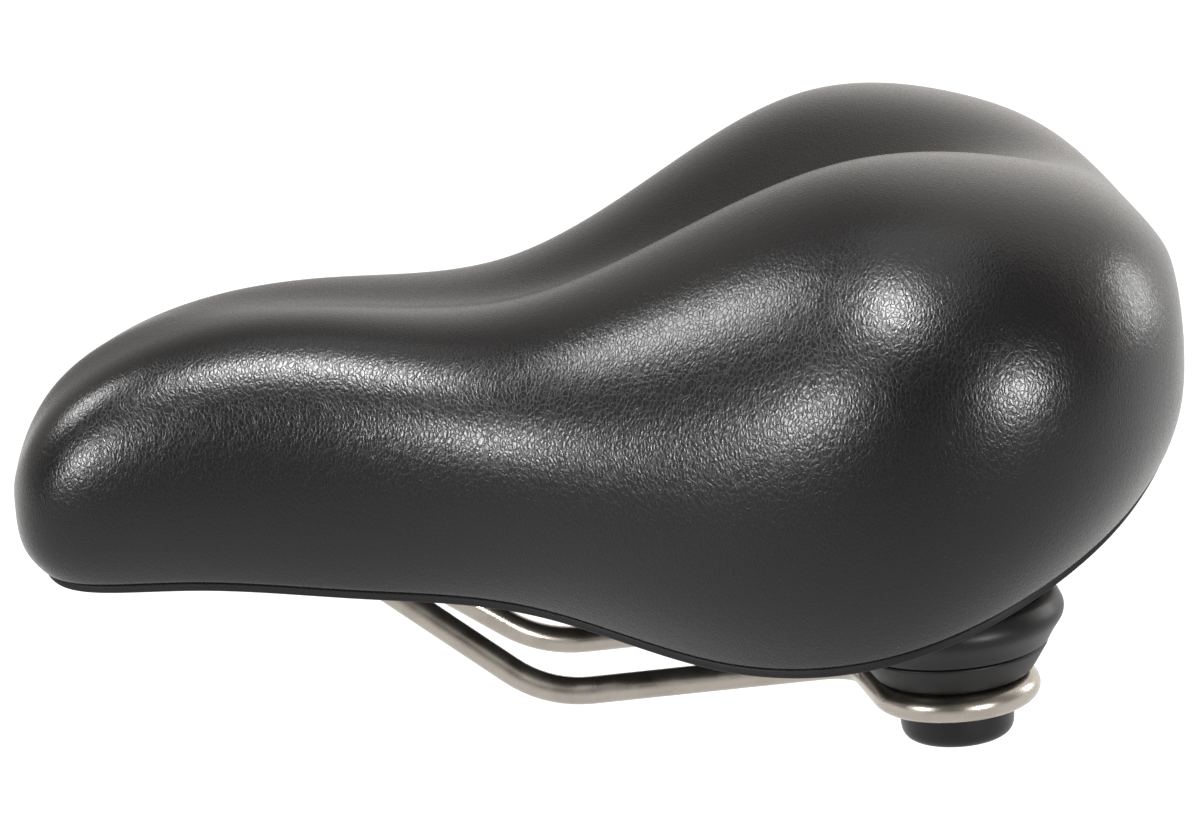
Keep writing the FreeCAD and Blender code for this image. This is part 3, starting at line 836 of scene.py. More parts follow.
@dataclass(frozen=True)
class MetalFinish:
    """Plated metal: satin nickel on the wire, zinc on the fasteners."""

    name: str
    bright: tuple[float, float, float]
    dull: tuple[float, float, float]
    shine: tuple[float, float]
    depth: float = 0.006

    def make(self, effects: Effects) -> bpy.types.Material:
        """Build the material from the shared effects."""
        sheet = Sheet(self.name, Metallic=1.0)
        texture = sheet.group(effects.texture, Pits=1500.0, Patches=140.0)
        marks = sheet.group(effects.marks, Spread=90.0, Amount=0.55)
        colours = (self.bright, self.dull)
        return sheet.textured(texture, marks.outputs["Mask"], colours, self.shine, self.depth)


@dataclass(frozen=True)
class PaddingFinish:
    """Foam or gel: pale, soft and matt or slightly wet."""

    name: str
    base: tuple[float, float, float]
    tint: tuple[float, float, float]
    shine: tuple[float, float]
    depth: float = 0.15

    def make(self, effects: Effects) -> bpy.types.Material:
        """Build the material from the shared effects."""
        sheet = Sheet(self.name, Specular_IOR_Level=0.3)
        texture = sheet.group(effects.texture, Pits=900.0, Patches=120.0)
        colours = (self.base, self.tint)
        return sheet.textured(texture, texture.outputs["Cloud"], colours, self.shine, self.depth)


class Finishes:
    """Every finish of the saddle, made once."""

    def __init__(self) -> None:
        """Make the shared effects, then each material."""
        effects = Effects()
        self.leather = LeatherFinish().make(effects)
        self.base = MouldedFinish("base_plastic", shine=(0.5, 0.62), depth=0.05).make(effects)
        self.cup = MouldedFinish("cup_plastic", shine=(0.36, 0.46), depth=0.02).make(effects)
        self.rubber = MouldedFinish(
            "elastomer_rubber", dark=(0.007, 0.0066, 0.0066), shine=(0.44, 0.52), depth=0.025
        ).make(effects)
        self.nickel = MetalFinish(
            "satin_nickel", (0.39, 0.357, 0.315), (0.30, 0.272, 0.235), (0.24, 0.34)
        ).make(effects)
        self.zinc = MetalFinish(
            "zinc_steel", (0.58, 0.58, 0.6), (0.45, 0.45, 0.46), (0.28, 0.4)
        ).make(effects)
        self.foam = PaddingFinish(
            "moulded_foam", (0.55, 0.52, 0.42), (0.47, 0.44, 0.35), (0.85, 0.95)
        ).make(effects)
        self.gel = PaddingFinish(
            "soft_gel", (0.25, 0.4, 0.55), (0.2, 0.34, 0.5), (0.25, 0.35)
        ).make(effects)


def dress(piece: bpy.types.Object, finish: bpy.types.Material, body: Body) -> None:
    """Give a piece its finish and its body.

    Args:
        piece: the finished mesh object.
        finish: its material.
        body: the body it moves with.
    """
    piece.data.materials.clear()
    piece.data.materials.append(finish)
    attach(piece, body.value)
    log.info("%s: %d faces", piece.name, len(piece.data.polygons))


# ---------------------------------------------------------------------------------------------
# The seat's shape
# ---------------------------------------------------------------------------------------------


@dataclass(frozen=True)
class Station:
    """One cross-section of the seat. Shares of the reach and half width, then millimetres."""

    along: float
    belly: float
    edge: float
    edge_up: float
    crown_up: float
    channel_up: float
    crown: float
    floor_up: float
    tuck: float


@dataclass(frozen=True)
class SeatShape:
    """The smooth surfaces that cover, foam and base share, in millimetres."""

    nose_reach: float = float(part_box("cover")[1][0]) / MM
    tail_reach: float = -float(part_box("cover")[0][0]) / MM
    half_width: float = 112.0
    stations: tuple[Station, ...] = (
        Station(1.000, 0.000, 0.000, 46.0, 62.0, 62.0, 0.000, 55.0, 4.5),
        Station(1.000, 0.158, 0.113, 45.0, 65.0, 65.5, 0.039, 56.0, 4.5),
        Station(0.957, 0.269, 0.201, 40.0, 87.0, 90.0, 0.095, 57.0, 1.0),
        Station(0.737, 0.322, 0.246, 41.5, 104.0, 105.5, 0.123, 58.0, 0.0),
        Station(0.501, 0.376, 0.304, 35.0, 105.5, 102.0, 0.158, 58.0, 0.0),
        Station(0.247, 0.525, 0.412, 33.5, 98.0, 94.5, 0.193, 57.0, 0.0),
        Station(0.005, 0.788, 0.649, 16.5, 118.5, 106.5, 0.260, 55.0, 0.0),
        Station(-0.346, 1.000, 0.877, 22.5, 140.0, 112.5, 0.353, 54.0, 0.0),
        Station(-0.691, 0.979, 0.795, 38.5, 131.0, 122.0, 0.331, 60.0, 0.0),
        Station(-0.908, 0.745, 0.602, 54.5, 117.5, 119.0, 0.345, 70.0, 0.0),
        Station(-1.000, 0.486, 0.357, 67.5, 98.5, 98.0, 0.207, 77.0, 0.0),
        Station(-1.000, 0.000, 0.000, 69.5, 97.0, 97.0, 0.000, 77.0, 0.0),
    )

    def reach(self, station: Station) -> float:
        """The reach that a station's place is a share of."""
        return self.nose_reach if station.along > 0 else self.tail_reach

    def x(self, station: Station, inset: float) -> float:
        """A station's place along the saddle, set in from the ends."""
        return station.along * (self.reach(station) - inset)

    def width(self, share: float, inset: float) -> float:
        """A half width, set in from the side, or 0 at the ends."""
        return share * self.half_width - inset if share > 0 else 0.0

    def upper(self, station: Station, inset: float) -> list[tuple[float, float, float]]:
        """Half of a station of the padded top, edge to centre line, as (x, y, z)."""
        x = self.x(station, inset)
        belly = self.width(station.belly, inset)
        edge = self.width(station.edge, inset)
        low = station.edge_up
        top = station.crown_up - inset
        middle = station.channel_up - inset
        deep = top - low
        crown = min(station.crown * self.half_width, belly)
        waist = 0.4 if 0 < station.along < 0.1 else 0.5
        return [
            (x - station.tuck, edge, low),
            (x - 0.35 * station.tuck, edge + 0.55 * (belly - edge), low + 0.10 * deep),
            (x, belly, low + (waist - 0.17) * deep),
            (x, belly, low + (waist + 0.17) * deep),
            (x, crown + 0.66 * (belly - crown), low + 0.97 * deep),
            (x, crown, top),
            (x, 0.45 * crown, 0.35 * top + 0.65 * middle),
            (x, 0.0, middle),
        ]

    def floor(
        self, station: Station, inset: float, drop: float, wall: float
    ) -> list[tuple[float, float, float]]:
        """Half of a station of the base's dished floor, edge to centre line."""
        x = self.x(station, inset) - station.tuck
        edge = self.width(station.edge, inset)
        low = station.edge_up - drop
        top = station.floor_up - wall
        rise = top - low
        return [
            (x, edge, low),
            (x, 0.97 * edge, low + 0.55 * rise),
            (x, 0.74 * edge, low + 0.96 * rise),
            (x, 0.38 * edge, top),
            (x, 0.0, top),
        ]

    def net(self, halves: list[list[tuple[float, float, float]]]) -> np.ndarray:
        """Mirror half stations into a full net of control points."""
        return np.array(
            [[(x, -y, z) for x, y, z in half[:-1]] + half[::-1] for half in halves]
        )

    def upper_net(self, inset: float = 0.0) -> np.ndarray:
        """The net of the padded top."""
        return self.net([self.upper(s, inset) for s in self.stations])

    def floor_net(self, inset: float, drop: float, wall: float) -> np.ndarray:
        """The net of the base's floor."""
        return self.net([self.floor(s, inset, drop, wall) for s in self.stations])

    def edge_line(self, share: np.ndarray, inset: float, drop: float, side: int) -> np.ndarray:
        """Points along the seat's edge, set in and down.

        Args:
            share: places along the saddle, 0 at the nose and 1 at the tail.
            inset: how far in, in millimetres.
            drop: how far down, in millimetres.
            side: 1 for the left, -1 for the right.

        Returns:
            One point for each share, in millimetres.
        """
        poles = np.array(
            [
                (self.x(s, inset) - s.tuck, side * self.width(s.edge, inset), s.edge_up - drop)
                for s in self.stations
            ]
        )
        return spline_weights(len(poles), share) @ poles


def spline_weights(count: int, share: np.ndarray) -> np.ndarray:
    """Weights of a clamped cubic spline's control points.

    Args:
        count: how many control points there are.
        share: places along the spline, from 0 to 1.

    Returns:
        One row of weights for each place.
    """
    degree = 3
    knots = np.concatenate(
        [np.zeros(degree), np.linspace(0, 1, count - degree + 1), np.ones(degree)]
    )
    place = np.clip(share, 0, 1 - 1e-12)[:, None]
    weights = ((place >= knots[:-1]) & (place < knots[1:])).astype(float)
    for order in range(1, degree + 1):
        left_span = knots[order:-1] - knots[: -order - 1]
        right_span = knots[order + 1 :] - knots[1:-order]
        left = np.divide(
            place - knots[: -order - 1], left_span,
            out=np.zeros((len(share), len(left_span))), where=left_span > 0,
        )
        right = np.divide(
            knots[order + 1 :] - place, right_span,
            out=np.zeros((len(share), len(right_span))), where=right_span > 0,
        )
        weights = left * weights[:, :-1] + right * weights[:, 1:]
    return weights


def spline_grid(net: np.ndarray, along: np.ndarray, across: np.ndarray) -> np.ndarray:
    """Points on a spline surface.

    Args:
        net: control points, rows nose to tail.
        along: places along the saddle, 0 to 1.
        across: places across it, right edge to left edge, 0 to 1.

    Returns:
        A grid of points.
    """
    rows = spline_weights(net.shape[0], along)
    columns = spline_weights(net.shape[1], across)
    return np.einsum("im,mnk,jn->ijk", rows, net, columns)


def even_shares(net: np.ndarray, count: int) -> np.ndarray:
    """Places along the saddle that lie about evenly apart on the surface."""
    fine = np.linspace(0, 1, 800)
    line = spline_grid(net, fine, np.array([0.32]))[:, 0]
    steps = np.linalg.norm(np.diff(line, axis=0), axis=1)
    length = np.concatenate([[0], np.cumsum(steps)])
    return np.interp(np.linspace(0, length[-1], count), length, fine)


@dataclass(frozen=True)
class SeatCover:
    """The cover, the foam and the gel under it."""

    shape: SeatShape
    along: int = 241
    across: int = 168
    wall: float = 1.6
    edge_round: float = 1.3
    round_steps: int = 5
    gel_edge: float = 0.8

    def half_sections(self, inset: float, start: float) -> tuple[np.ndarray, np.ndarray]:
        """Even points on the left half of the padded top, section by section.

        Args:
            inset: how far inside the outer surface, in millimetres.
            start: how far up from the edge each section begins, in millimetres.

        Returns:
            The places of the sections along the saddle, and their points from the
            edge to the centre line, in millimetres.
        """
        net = self.shape.upper_net(inset)
        shares = even_shares(self.shape.upper_net(), self.along)
        fine = spline_grid(net, shares, np.linspace(1, 0.5, 420))
        steps = np.linalg.norm(np.diff(fine, axis=1), axis=2)
        lengths = np.concatenate([np.zeros((len(fine), 1)), np.cumsum(steps, axis=1)], axis=1)
        spread = np.linspace(0, 1, self.across // 2 + 1)
        sections = []
        for line, length in zip(fine, lengths):
            wanted = start + spread * (length[-1] - start)
            sections.append(np.stack([np.interp(wanted, length, line[:, i]) for i in range(3)], -1))
        points = np.array(sections)
        points[:, -1, 1] = 0
        points[[0, -1], :, 1] = 0
        return shares, points

    def rolled_edge(self, shares: np.ndarray, above: np.ndarray) -> np.ndarray:
        """The rounding of the left edge and the short flat under it.

        Args:
            shares: the places of the sections along the saddle.
            above: the first point of each section above the rounding, in millimetres.

        Returns:
            Points from the flat out and up to the section, in millimetres.
        """
        edge = self.shape.edge_line(shares, 0, 0, 1)
        inward = self.unit_rows(self.shape.edge_line(shares, 4, 0, 1) - edge)
        upward = self.unit_rows(above - edge)
        radius = self.edge_round
        rows = [edge + self.wall * inward + 0.02 * upward]
        for angle in np.linspace(math.pi / 2, 0, self.round_steps + 1)[:-1]:
            rows.append(
                edge
                + radius * (1 - math.cos(angle)) * inward
                + radius * (1 - math.sin(angle)) * upward
            )
        rolled = np.stack(rows, axis=1)
        rolled[[0, -1], :, 1] = 0
        return rolled

    @staticmethod
    def unit_rows(vectors: np.ndarray) -> np.ndarray:
        """Each row at unit length."""
        return vectors / np.maximum(np.linalg.norm(vectors, axis=1), 1e-9)[:, None]

    @staticmethod
    def both_halves(left: np.ndarray) -> np.ndarray:
        """Mirror left sections, edge to centre line, into whole ones, right to left."""
        right = left * np.array((1, -1, 1))
        return np.concatenate([right, left[:, -2::-1]], axis=1)

    def cover_piece(self) -> bpy.types.Object:
        """The cover: outer skin with rolled edges, and an inner skin under it."""
        shares, outer = self.half_sections(0, self.edge_round)
        outer = np.concatenate([self.rolled_edge(shares, outer[:, 0]), outer], axis=1)
        _, inner = self.half_sections(self.wall, 0.4)
        loop = np.concatenate(
            [self.both_halves(outer), self.both_halves(inner)[:, ::-1]], axis=1
        )
        return loops_piece("seat_cover", loop, reach=5e-6, crease=60)

    def foam_piece(self) -> bpy.types.Object:
        """The foam core: the top set in, closed by the base's floor."""
        shares, half = self.half_sections(self.wall + 0.2, 0.0)
        shares, top = shares[::2], self.both_halves(half)[::2, ::2]
        floor = spline_grid(self.shape.floor_net(6.5, -0.2, -0.2), shares, np.linspace(0, 1, 60))
        loop = np.concatenate([top, floor[:, ::-1]], axis=1)
        return loops_piece("foam_core_pad", loop, reach=2e-6, crease=60)

    def build(self, finishes: Finishes) -> None:
        """Build and dress the cover, the foam and the gel."""
        cover = self.cover_piece()
        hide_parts("cover")
        dress(cover, finishes.leather, Body.SEAT)
        foam = self.foam_piece()
        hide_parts("foam_core")
        dress(foam, finishes.foam, Body.SEAT)
        for side in Side:
            name, node = f"gel_insert_{side.word}", f"gel_pad_{side.word}"
            gel = finished_copy(name, node, bevel=self.gel_edge, crease=35)
            dress(gel, finishes.gel, Body.SEAT)


@dataclass(frozen=True)
class Base:
    """The moulded base: lip, ledge, dished floor, ribs and the posts over the springs."""

    shape: SeatShape
    setback: float = 0.9
    lip_depth: float = 2.4
    ledge: float = 5.4
    wall: float = 2.8
    lip_round: float = 0.8
    rib_depth: float = 4.5
    rib_wall: float = 2.4
    rib_y: float = 15.0
    rib_back: float = -96.0
    rib_front: float = 80.0
    cross_reach: float = 34.0
    cross_pitch: float = 44.0
    post_radius: float = 23.0
    post_draft: float = 0.08
    post_bury: float = 1.6
    post_flare: float = 3.0

    def lip_line(self, shares: np.ndarray, side: int) -> list[np.ndarray]:
        """Edge points round the lip, from the top ledge out, down and in underneath."""
        inner_top = self.setback + self.ledge
        inner_low = inner_top + self.wall
        corners = [
            (inner_top, 0.0, 0.0),
            (self.setback, 0.0, self.lip_round),
            (self.setback, self.lip_depth, self.lip_round),
            (inner_low, self.lip_depth, 0.0),
        ]
        path = rounded_profile(corners, steps=4)[:-1]
        return [self.shape.edge_line(shares, inset, drop, side) for inset, drop in path]

    def floor_grids(self, shares: np.ndarray) -> tuple[np.ndarray, np.ndarray]:
        """The floor's top and its underside."""
        inner_top = self.setback + self.ledge
        across = np.linspace(0, 1, 90)
        top = spline_grid(self.shape.floor_net(inner_top, 0, 0), shares, across)
        under = spline_grid(
            self.shape.floor_net(inner_top + self.wall, self.lip_depth, self.wall), shares, across
        )
        return top, under

    def shell_piece(self) -> bpy.types.Object:
        """The base's skin as one closed mesh."""
        shares = even_shares(self.shape.upper_net(0), 190)
        top, under = self.floor_grids(shares)
        right = np.stack(self.lip_line(shares, -1), axis=1)
        left = np.stack(self.lip_line(shares, 1), axis=1)
        loop = np.concatenate([top, left, under[:, ::-1], right[:, ::-1]], axis=1)
        return loops_piece("base_moulding", loop, reach=2e-6, crease=50)

    def floor_height(self, spots: np.ndarray) -> np.ndarray:
        """Height of the floor's underside over (x, y) places, in millimetres."""
        shares = np.linspace(0, 1, 500)
        _, under = self.floor_grids(shares)
        flat = under.reshape(-1, 3)
        heights = []
        for spot in spots:
            away = np.hypot(flat[:, 0] - spot[0], flat[:, 1] - spot[1])
            near = np.argsort(away)[:4]
            weight = 1 / (away[near] + 1e-3)
            heights.append(float((flat[near, 2] * weight).sum() / weight.sum()))
        return np.array(heights)

    def rib_path(self, start: tuple[float, float], end: tuple[float, float]) -> np.ndarray:
        """A rib's path along the floor's underside, in metres."""
        share = np.linspace(0, 1, 48)[:, None]
        spots = (1 - share) * np.array(start) + share * np.array(end)
        heights = self.floor_height(spots)
        smoothed = np.convolve(np.pad(heights, 3, mode="edge"), np.ones(7) / 7, mode="valid")
        return np.column_stack([spots, smoothed]) * MM

    def ribs_piece(self, sweeps: SweepTree, finish: bpy.types.Material) -> bpy.types.Object:
        """Lengthwise and cross ribs with drafted sides."""
        eye_x = middle_of("washer_left")[0] / MM
        runs = []
        for side in Side:
            y = side.value * self.rib_y
            runs.append(self.rib_path((self.rib_back, y), (self.rib_front, y)))
        for turn in range(3):
            x = eye_x + turn * self.cross_pitch
            runs.append(self.rib_path((x, -self.cross_reach), (x, self.cross_reach)))
        paths = polyline_object("base_ribs", runs, [np.ones(len(run)) for run in runs])
        half_root, half_tip = 0.62 * self.rib_wall, 0.4 * self.rib_wall
        outline = rounded_profile(
            [
                (-half_root, 1.0, 0),
                (-half_tip, -self.rib_depth, 0.5),
                (half_tip, -self.rib_depth, 0.5),
                (half_root, 1.0, 0),
            ],
            steps=3,
        )
        piece = sweeps.sweep(paths, outline, finish)
        smooth(piece, crease=40)
        return piece

    def post_piece(self, side: Side) -> bpy.types.Object:
        """The post over a spring cup, flaring into the floor."""
        _, cup_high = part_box(f"spring_cup_{side.word}")
        spot = middle_of(f"spring_cup_{side.word}")
        foot = np.array((spot[0], spot[1], cup_high[2]))
        height = self.floor_height(np.array([spot[:2] / MM]))[0] - cup_high[2] / MM + self.post_bury
        low, high = self.post_radius, self.post_radius + self.post_draft * height
        outline = rounded_profile(
            [
                (low - self.wall, 0.0, 0.3),
                (low, 0.0, 0.6),
                (high, height - self.post_flare, 2.0),
                (high + self.post_flare, height, 0.0),
                (high - self.wall, height, 0.0),
            ]
        )
        return turned_piece(f"base_post_{side.word}", outline, foot)

    def build(self, finishes: Finishes, sweeps: SweepTree) -> None:
        """Build and dress the base."""
        shell = self.shell_piece()
        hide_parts("base_shell")
        dress(shell, finishes.base, Body.SEAT)
        ribs = self.ribs_piece(sweeps, finishes.base)
        dress(ribs, finishes.base, Body.SEAT)
        for side in Side:
            dress(self.post_piece(side), finishes.base, Body.SEAT)


# ---------------------------------------------------------------------------------------------
# The wire frame
# ---------------------------------------------------------------------------------------------


@dataclass(frozen=True)
class WireFrame:
    """One bent wire: two rails, a crossbar at the nose and an eye on each side, in millimetres."""

    radius: float = frame["record"]["mounts"][0]["dims"]["r_mm"]
    spacing: float = frame["record"]["mounts"][0]["dims"]["spacing_y_mm"]
    pivot: tuple[float, ...] = tuple(
        p / MM for p in frame["record"]["behaviour"]["joints"][0]["pos_m"]
    )
    pivot_corner_y: float = 10.5
    pivot_bend: float = 8.0
    rise_x: float = 42.0
    rise_bend: float = 31.0
    jog_bend: float = 10.0
    eye_radius: float = 17.5
    eye_entry: float = 8.0
    eye_end: float = 315.0
    end_width: float = 0.72
    next_width: float = 0.92
    end_step: float = 0.35
    next_step: float = 1.0
    sides: int = 40

    def eye_point(self, degrees: float, side: Side) -> np.ndarray:
        """A point of an eye's centre line."""
        centre = middle_of(f"washer_{side.word}") / MM
        angle = math.radians(degrees)
        return np.array(
            (
                centre[0] + self.eye_radius * math.cos(angle),
                centre[1] + side.value * self.eye_radius * math.sin(angle),
                0.0,
            )
        )

    def half_path(self, side: Side) -> list[np.ndarray]:
        """The wire's centre line from the middle of the crossbar to an eye's end."""
        rail_y = side.value * self.spacing / 2
        entry = self.eye_point(self.eye_entry, side)
        jog_x = entry[0] + abs(entry[1] - rail_y) * math.tan(math.radians(self.eye_entry))
        corners = [
            np.array(self.pivot),
            np.array((self.pivot[0], side.value * self.pivot_corner_y, self.pivot[2])),
            np.array((self.rise_x, rail_y, 0.0)),
            np.array((jog_x, rail_y, 0.0)),
            entry,
        ]
        path = [corners[0]]
        bends = (self.pivot_bend, self.rise_bend, self.jog_bend)
        for before, corner, after, bend in zip(corners, corners[1:], corners[2:], bends):
            path += self.arc(before, corner, after, bend)
        turns = np.arange(self.eye_entry, self.eye_end + 0.1, 4.0)
        path += [self.eye_point(float(turn), side) for turn in turns]
        return path

    @staticmethod
    def arc(
        before: np.ndarray, corner: np.ndarray, after: np.ndarray, bend: float
    ) -> list[np.ndarray]:
        """Points of the arc that rounds a corner.

        Args:
            before: the corner before it.
            corner: the corner.
            after: the corner after it.
            bend: the arc's radius.

        Returns:
            The arc's points.
        """
        towards = (corner - before) / np.linalg.norm(corner - before)
        away = (after - corner) / np.linalg.norm(after - corner)
        turn = math.acos(float(np.clip(towards @ away, -1, 1)))
        start = corner - towards * bend * math.tan(turn / 2)
        inward = away - towards * float(towards @ away)
        inward /= np.linalg.norm(inward)
        steps = max(6, int(math.degrees(turn) / 4))
        return [
            start + bend * (towards * math.sin(a) + inward * (1 - math.cos(a)))
            for a in np.linspace(0, turn, steps + 1)
        ]

    def build(self, finishes: Finishes, sweeps: SweepTree) -> None:
        """Sweep and dress the wire."""
        right = self.half_path(Side.RIGHT)[::-1]
        path = self.with_rounded_ends(np.array(right + self.half_path(Side.LEFT)[1:]))
        widths = np.ones(len(path))
        widths[[0, -1]] = self.end_width
        widths[[1, -2]] = self.next_width
        wire = polyline_object("rail_wire_bent", [path * MM], [widths])
        angles = np.arange(self.sides) * TAU / self.sides
        outline = [(self.radius * math.cos(a), self.radius * math.sin(a)) for a in angles]
        sweeps.sweep(wire, outline, finishes.nickel)
        smooth(wire, crease=50)
        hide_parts("rail_wire")
        dress(wire, finishes.nickel, Body.FRAME)

    def with_rounded_ends(self, path: np.ndarray) -> np.ndarray:
        """Add two close points at each end, for the wire's broken edge."""
        first = (path[1] - path[0]) / np.linalg.norm(path[1] - path[0])
        last = (path[-1] - path[-2]) / np.linalg.norm(path[-1] - path[-2])
        head = [path[0], path[0] + self.end_step * first, path[0] + self.next_step * first]
        tail = [path[-1] - self.next_step * last, path[-1] - self.end_step * last, path[-1]]
        return np.array(head + list(path[1:-1]) + tail)


# ---------------------------------------------------------------------------------------------
# The spring stacks
# ---------------------------------------------------------------------------------------------


@dataclass(frozen=True)
class SpringStack:
    """Elastomer, cup and knob of one side, with radii and heights in millimetres."""

    side: Side
    keep: float = 0.45
    bolt_hole: float = 3.3
    ring_bore: float = 13.5
    ring_foot: float = 19.0
    ring_waist: float = 20.7
    ring_top: float = 23.6
    cup_foot: float = 23.9
    cup_bead: float = 25.4
    cup_belly: float = 28.6
    cup_rim: float = 26.2
    cup_mouth: float = 23.7
    cup_hollow: float = 24.4
    cup_hollow_foot: float = 21.7
    cup_floor: float = 2.6
    cup_hub: float = 7.5
    knob_foot: float = 13.7
    knob_top: float = 14.4
    knob_shoulder: float = 9.95
    neck_radius: float = 11.8
    neck_from: float = 11.45
    pocket_radius: float = 6.7
    pocket_depth: float = 8.0

    def elastomer(self) -> bpy.types.Object:
        """The tapered ring, slightly waisted, with soft edges."""
        node = f"elastomer_{self.side.word}"
        tall = tall_of(node)
        outline = rounded_profile(
            [
                (self.ring_bore, 0.0, 0.4),
                (self.ring_foot, 0.0, 1.6),
                (self.ring_waist, 0.32 * tall, 2.0),
                (self.ring_top, tall - 0.6, 0.5),
                (self.ring_top - 0.3, tall, 0.3),
                (self.ring_bore, tall, 0.4),
            ]
        )
        return turned_piece(f"elastomer_ring_{self.side.word}", outline, foot_of(node))

    def cup(self) -> bpy.types.Object:
        """The bellied cup, with a small bead at its lower rim."""
        node = f"spring_cup_{self.side.word}"
        tall = tall_of(node)
        outline = rounded_profile(
            [
                (self.bolt_hole, 0.0, 0.0),
                (self.cup_foot, 0.0, 0.35),
                (self.cup_bead, 0.22 * tall, 2.0),
                (self.cup_belly, 0.60 * tall, 5.5),
                (self.cup_rim, tall, 2.2),
                (self.cup_mouth, tall, 0.2),
                (self.cup_hollow, 0.55 * tall, 2.0),
                (self.cup_hollow_foot, self.cup_floor, 0.8),
                (self.cup_hub, self.cup_floor, 0.8),
                (self.cup_hub, tall, 0.3),
                (self.bolt_hole, tall, 0.0),
            ]
        )
        return turned_piece(f"spring_cup_shell_{self.side.word}", outline, foot_of(node))

    def knob(self) -> bpy.types.Object:
        """The rebound knob, well rounded below, with its bolt pocket."""
        node = f"rebound_knob_{self.side.word}"
        tall = tall_of(node)
        outline = rounded_profile(
            [
                (self.pocket_radius, 0.0, 0.5),
                (self.knob_foot, 0.0, 5.2),
                (self.knob_top, self.knob_shoulder, 0.4),
                (self.neck_radius, self.neck_from, 0.4),
                (self.neck_radius, tall, 0.4),
                (self.bolt_hole, tall, 0.0),
                (self.bolt_hole, self.pocket_depth, 0.0),
                (self.pocket_radius, self.pocket_depth, 0.0),
            ]
        )
        return turned_piece(f"knob_{self.side.word}", outline, foot_of(node))

    def build(self, finishes: Finishes) -> None:
        """Build and dress the stack."""
        word = self.side.word
        rubber = self.elastomer()
        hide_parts(f"elastomer_{word}")
        dress(rubber, finishes.rubber, Body.FRAME)
        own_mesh(rubber)
        cup = self.cup()
        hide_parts(f"spring_cup_{word}")
        dress(cup, finishes.cup, Body.SEAT)
        knob = self.knob()
        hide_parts(f"rebound_knob_{word}")
        dress(knob, finishes.cup, Body.SEAT)


# ---------------------------------------------------------------------------------------------
# Nose socket and fasteners
# ---------------------------------------------------------------------------------------------


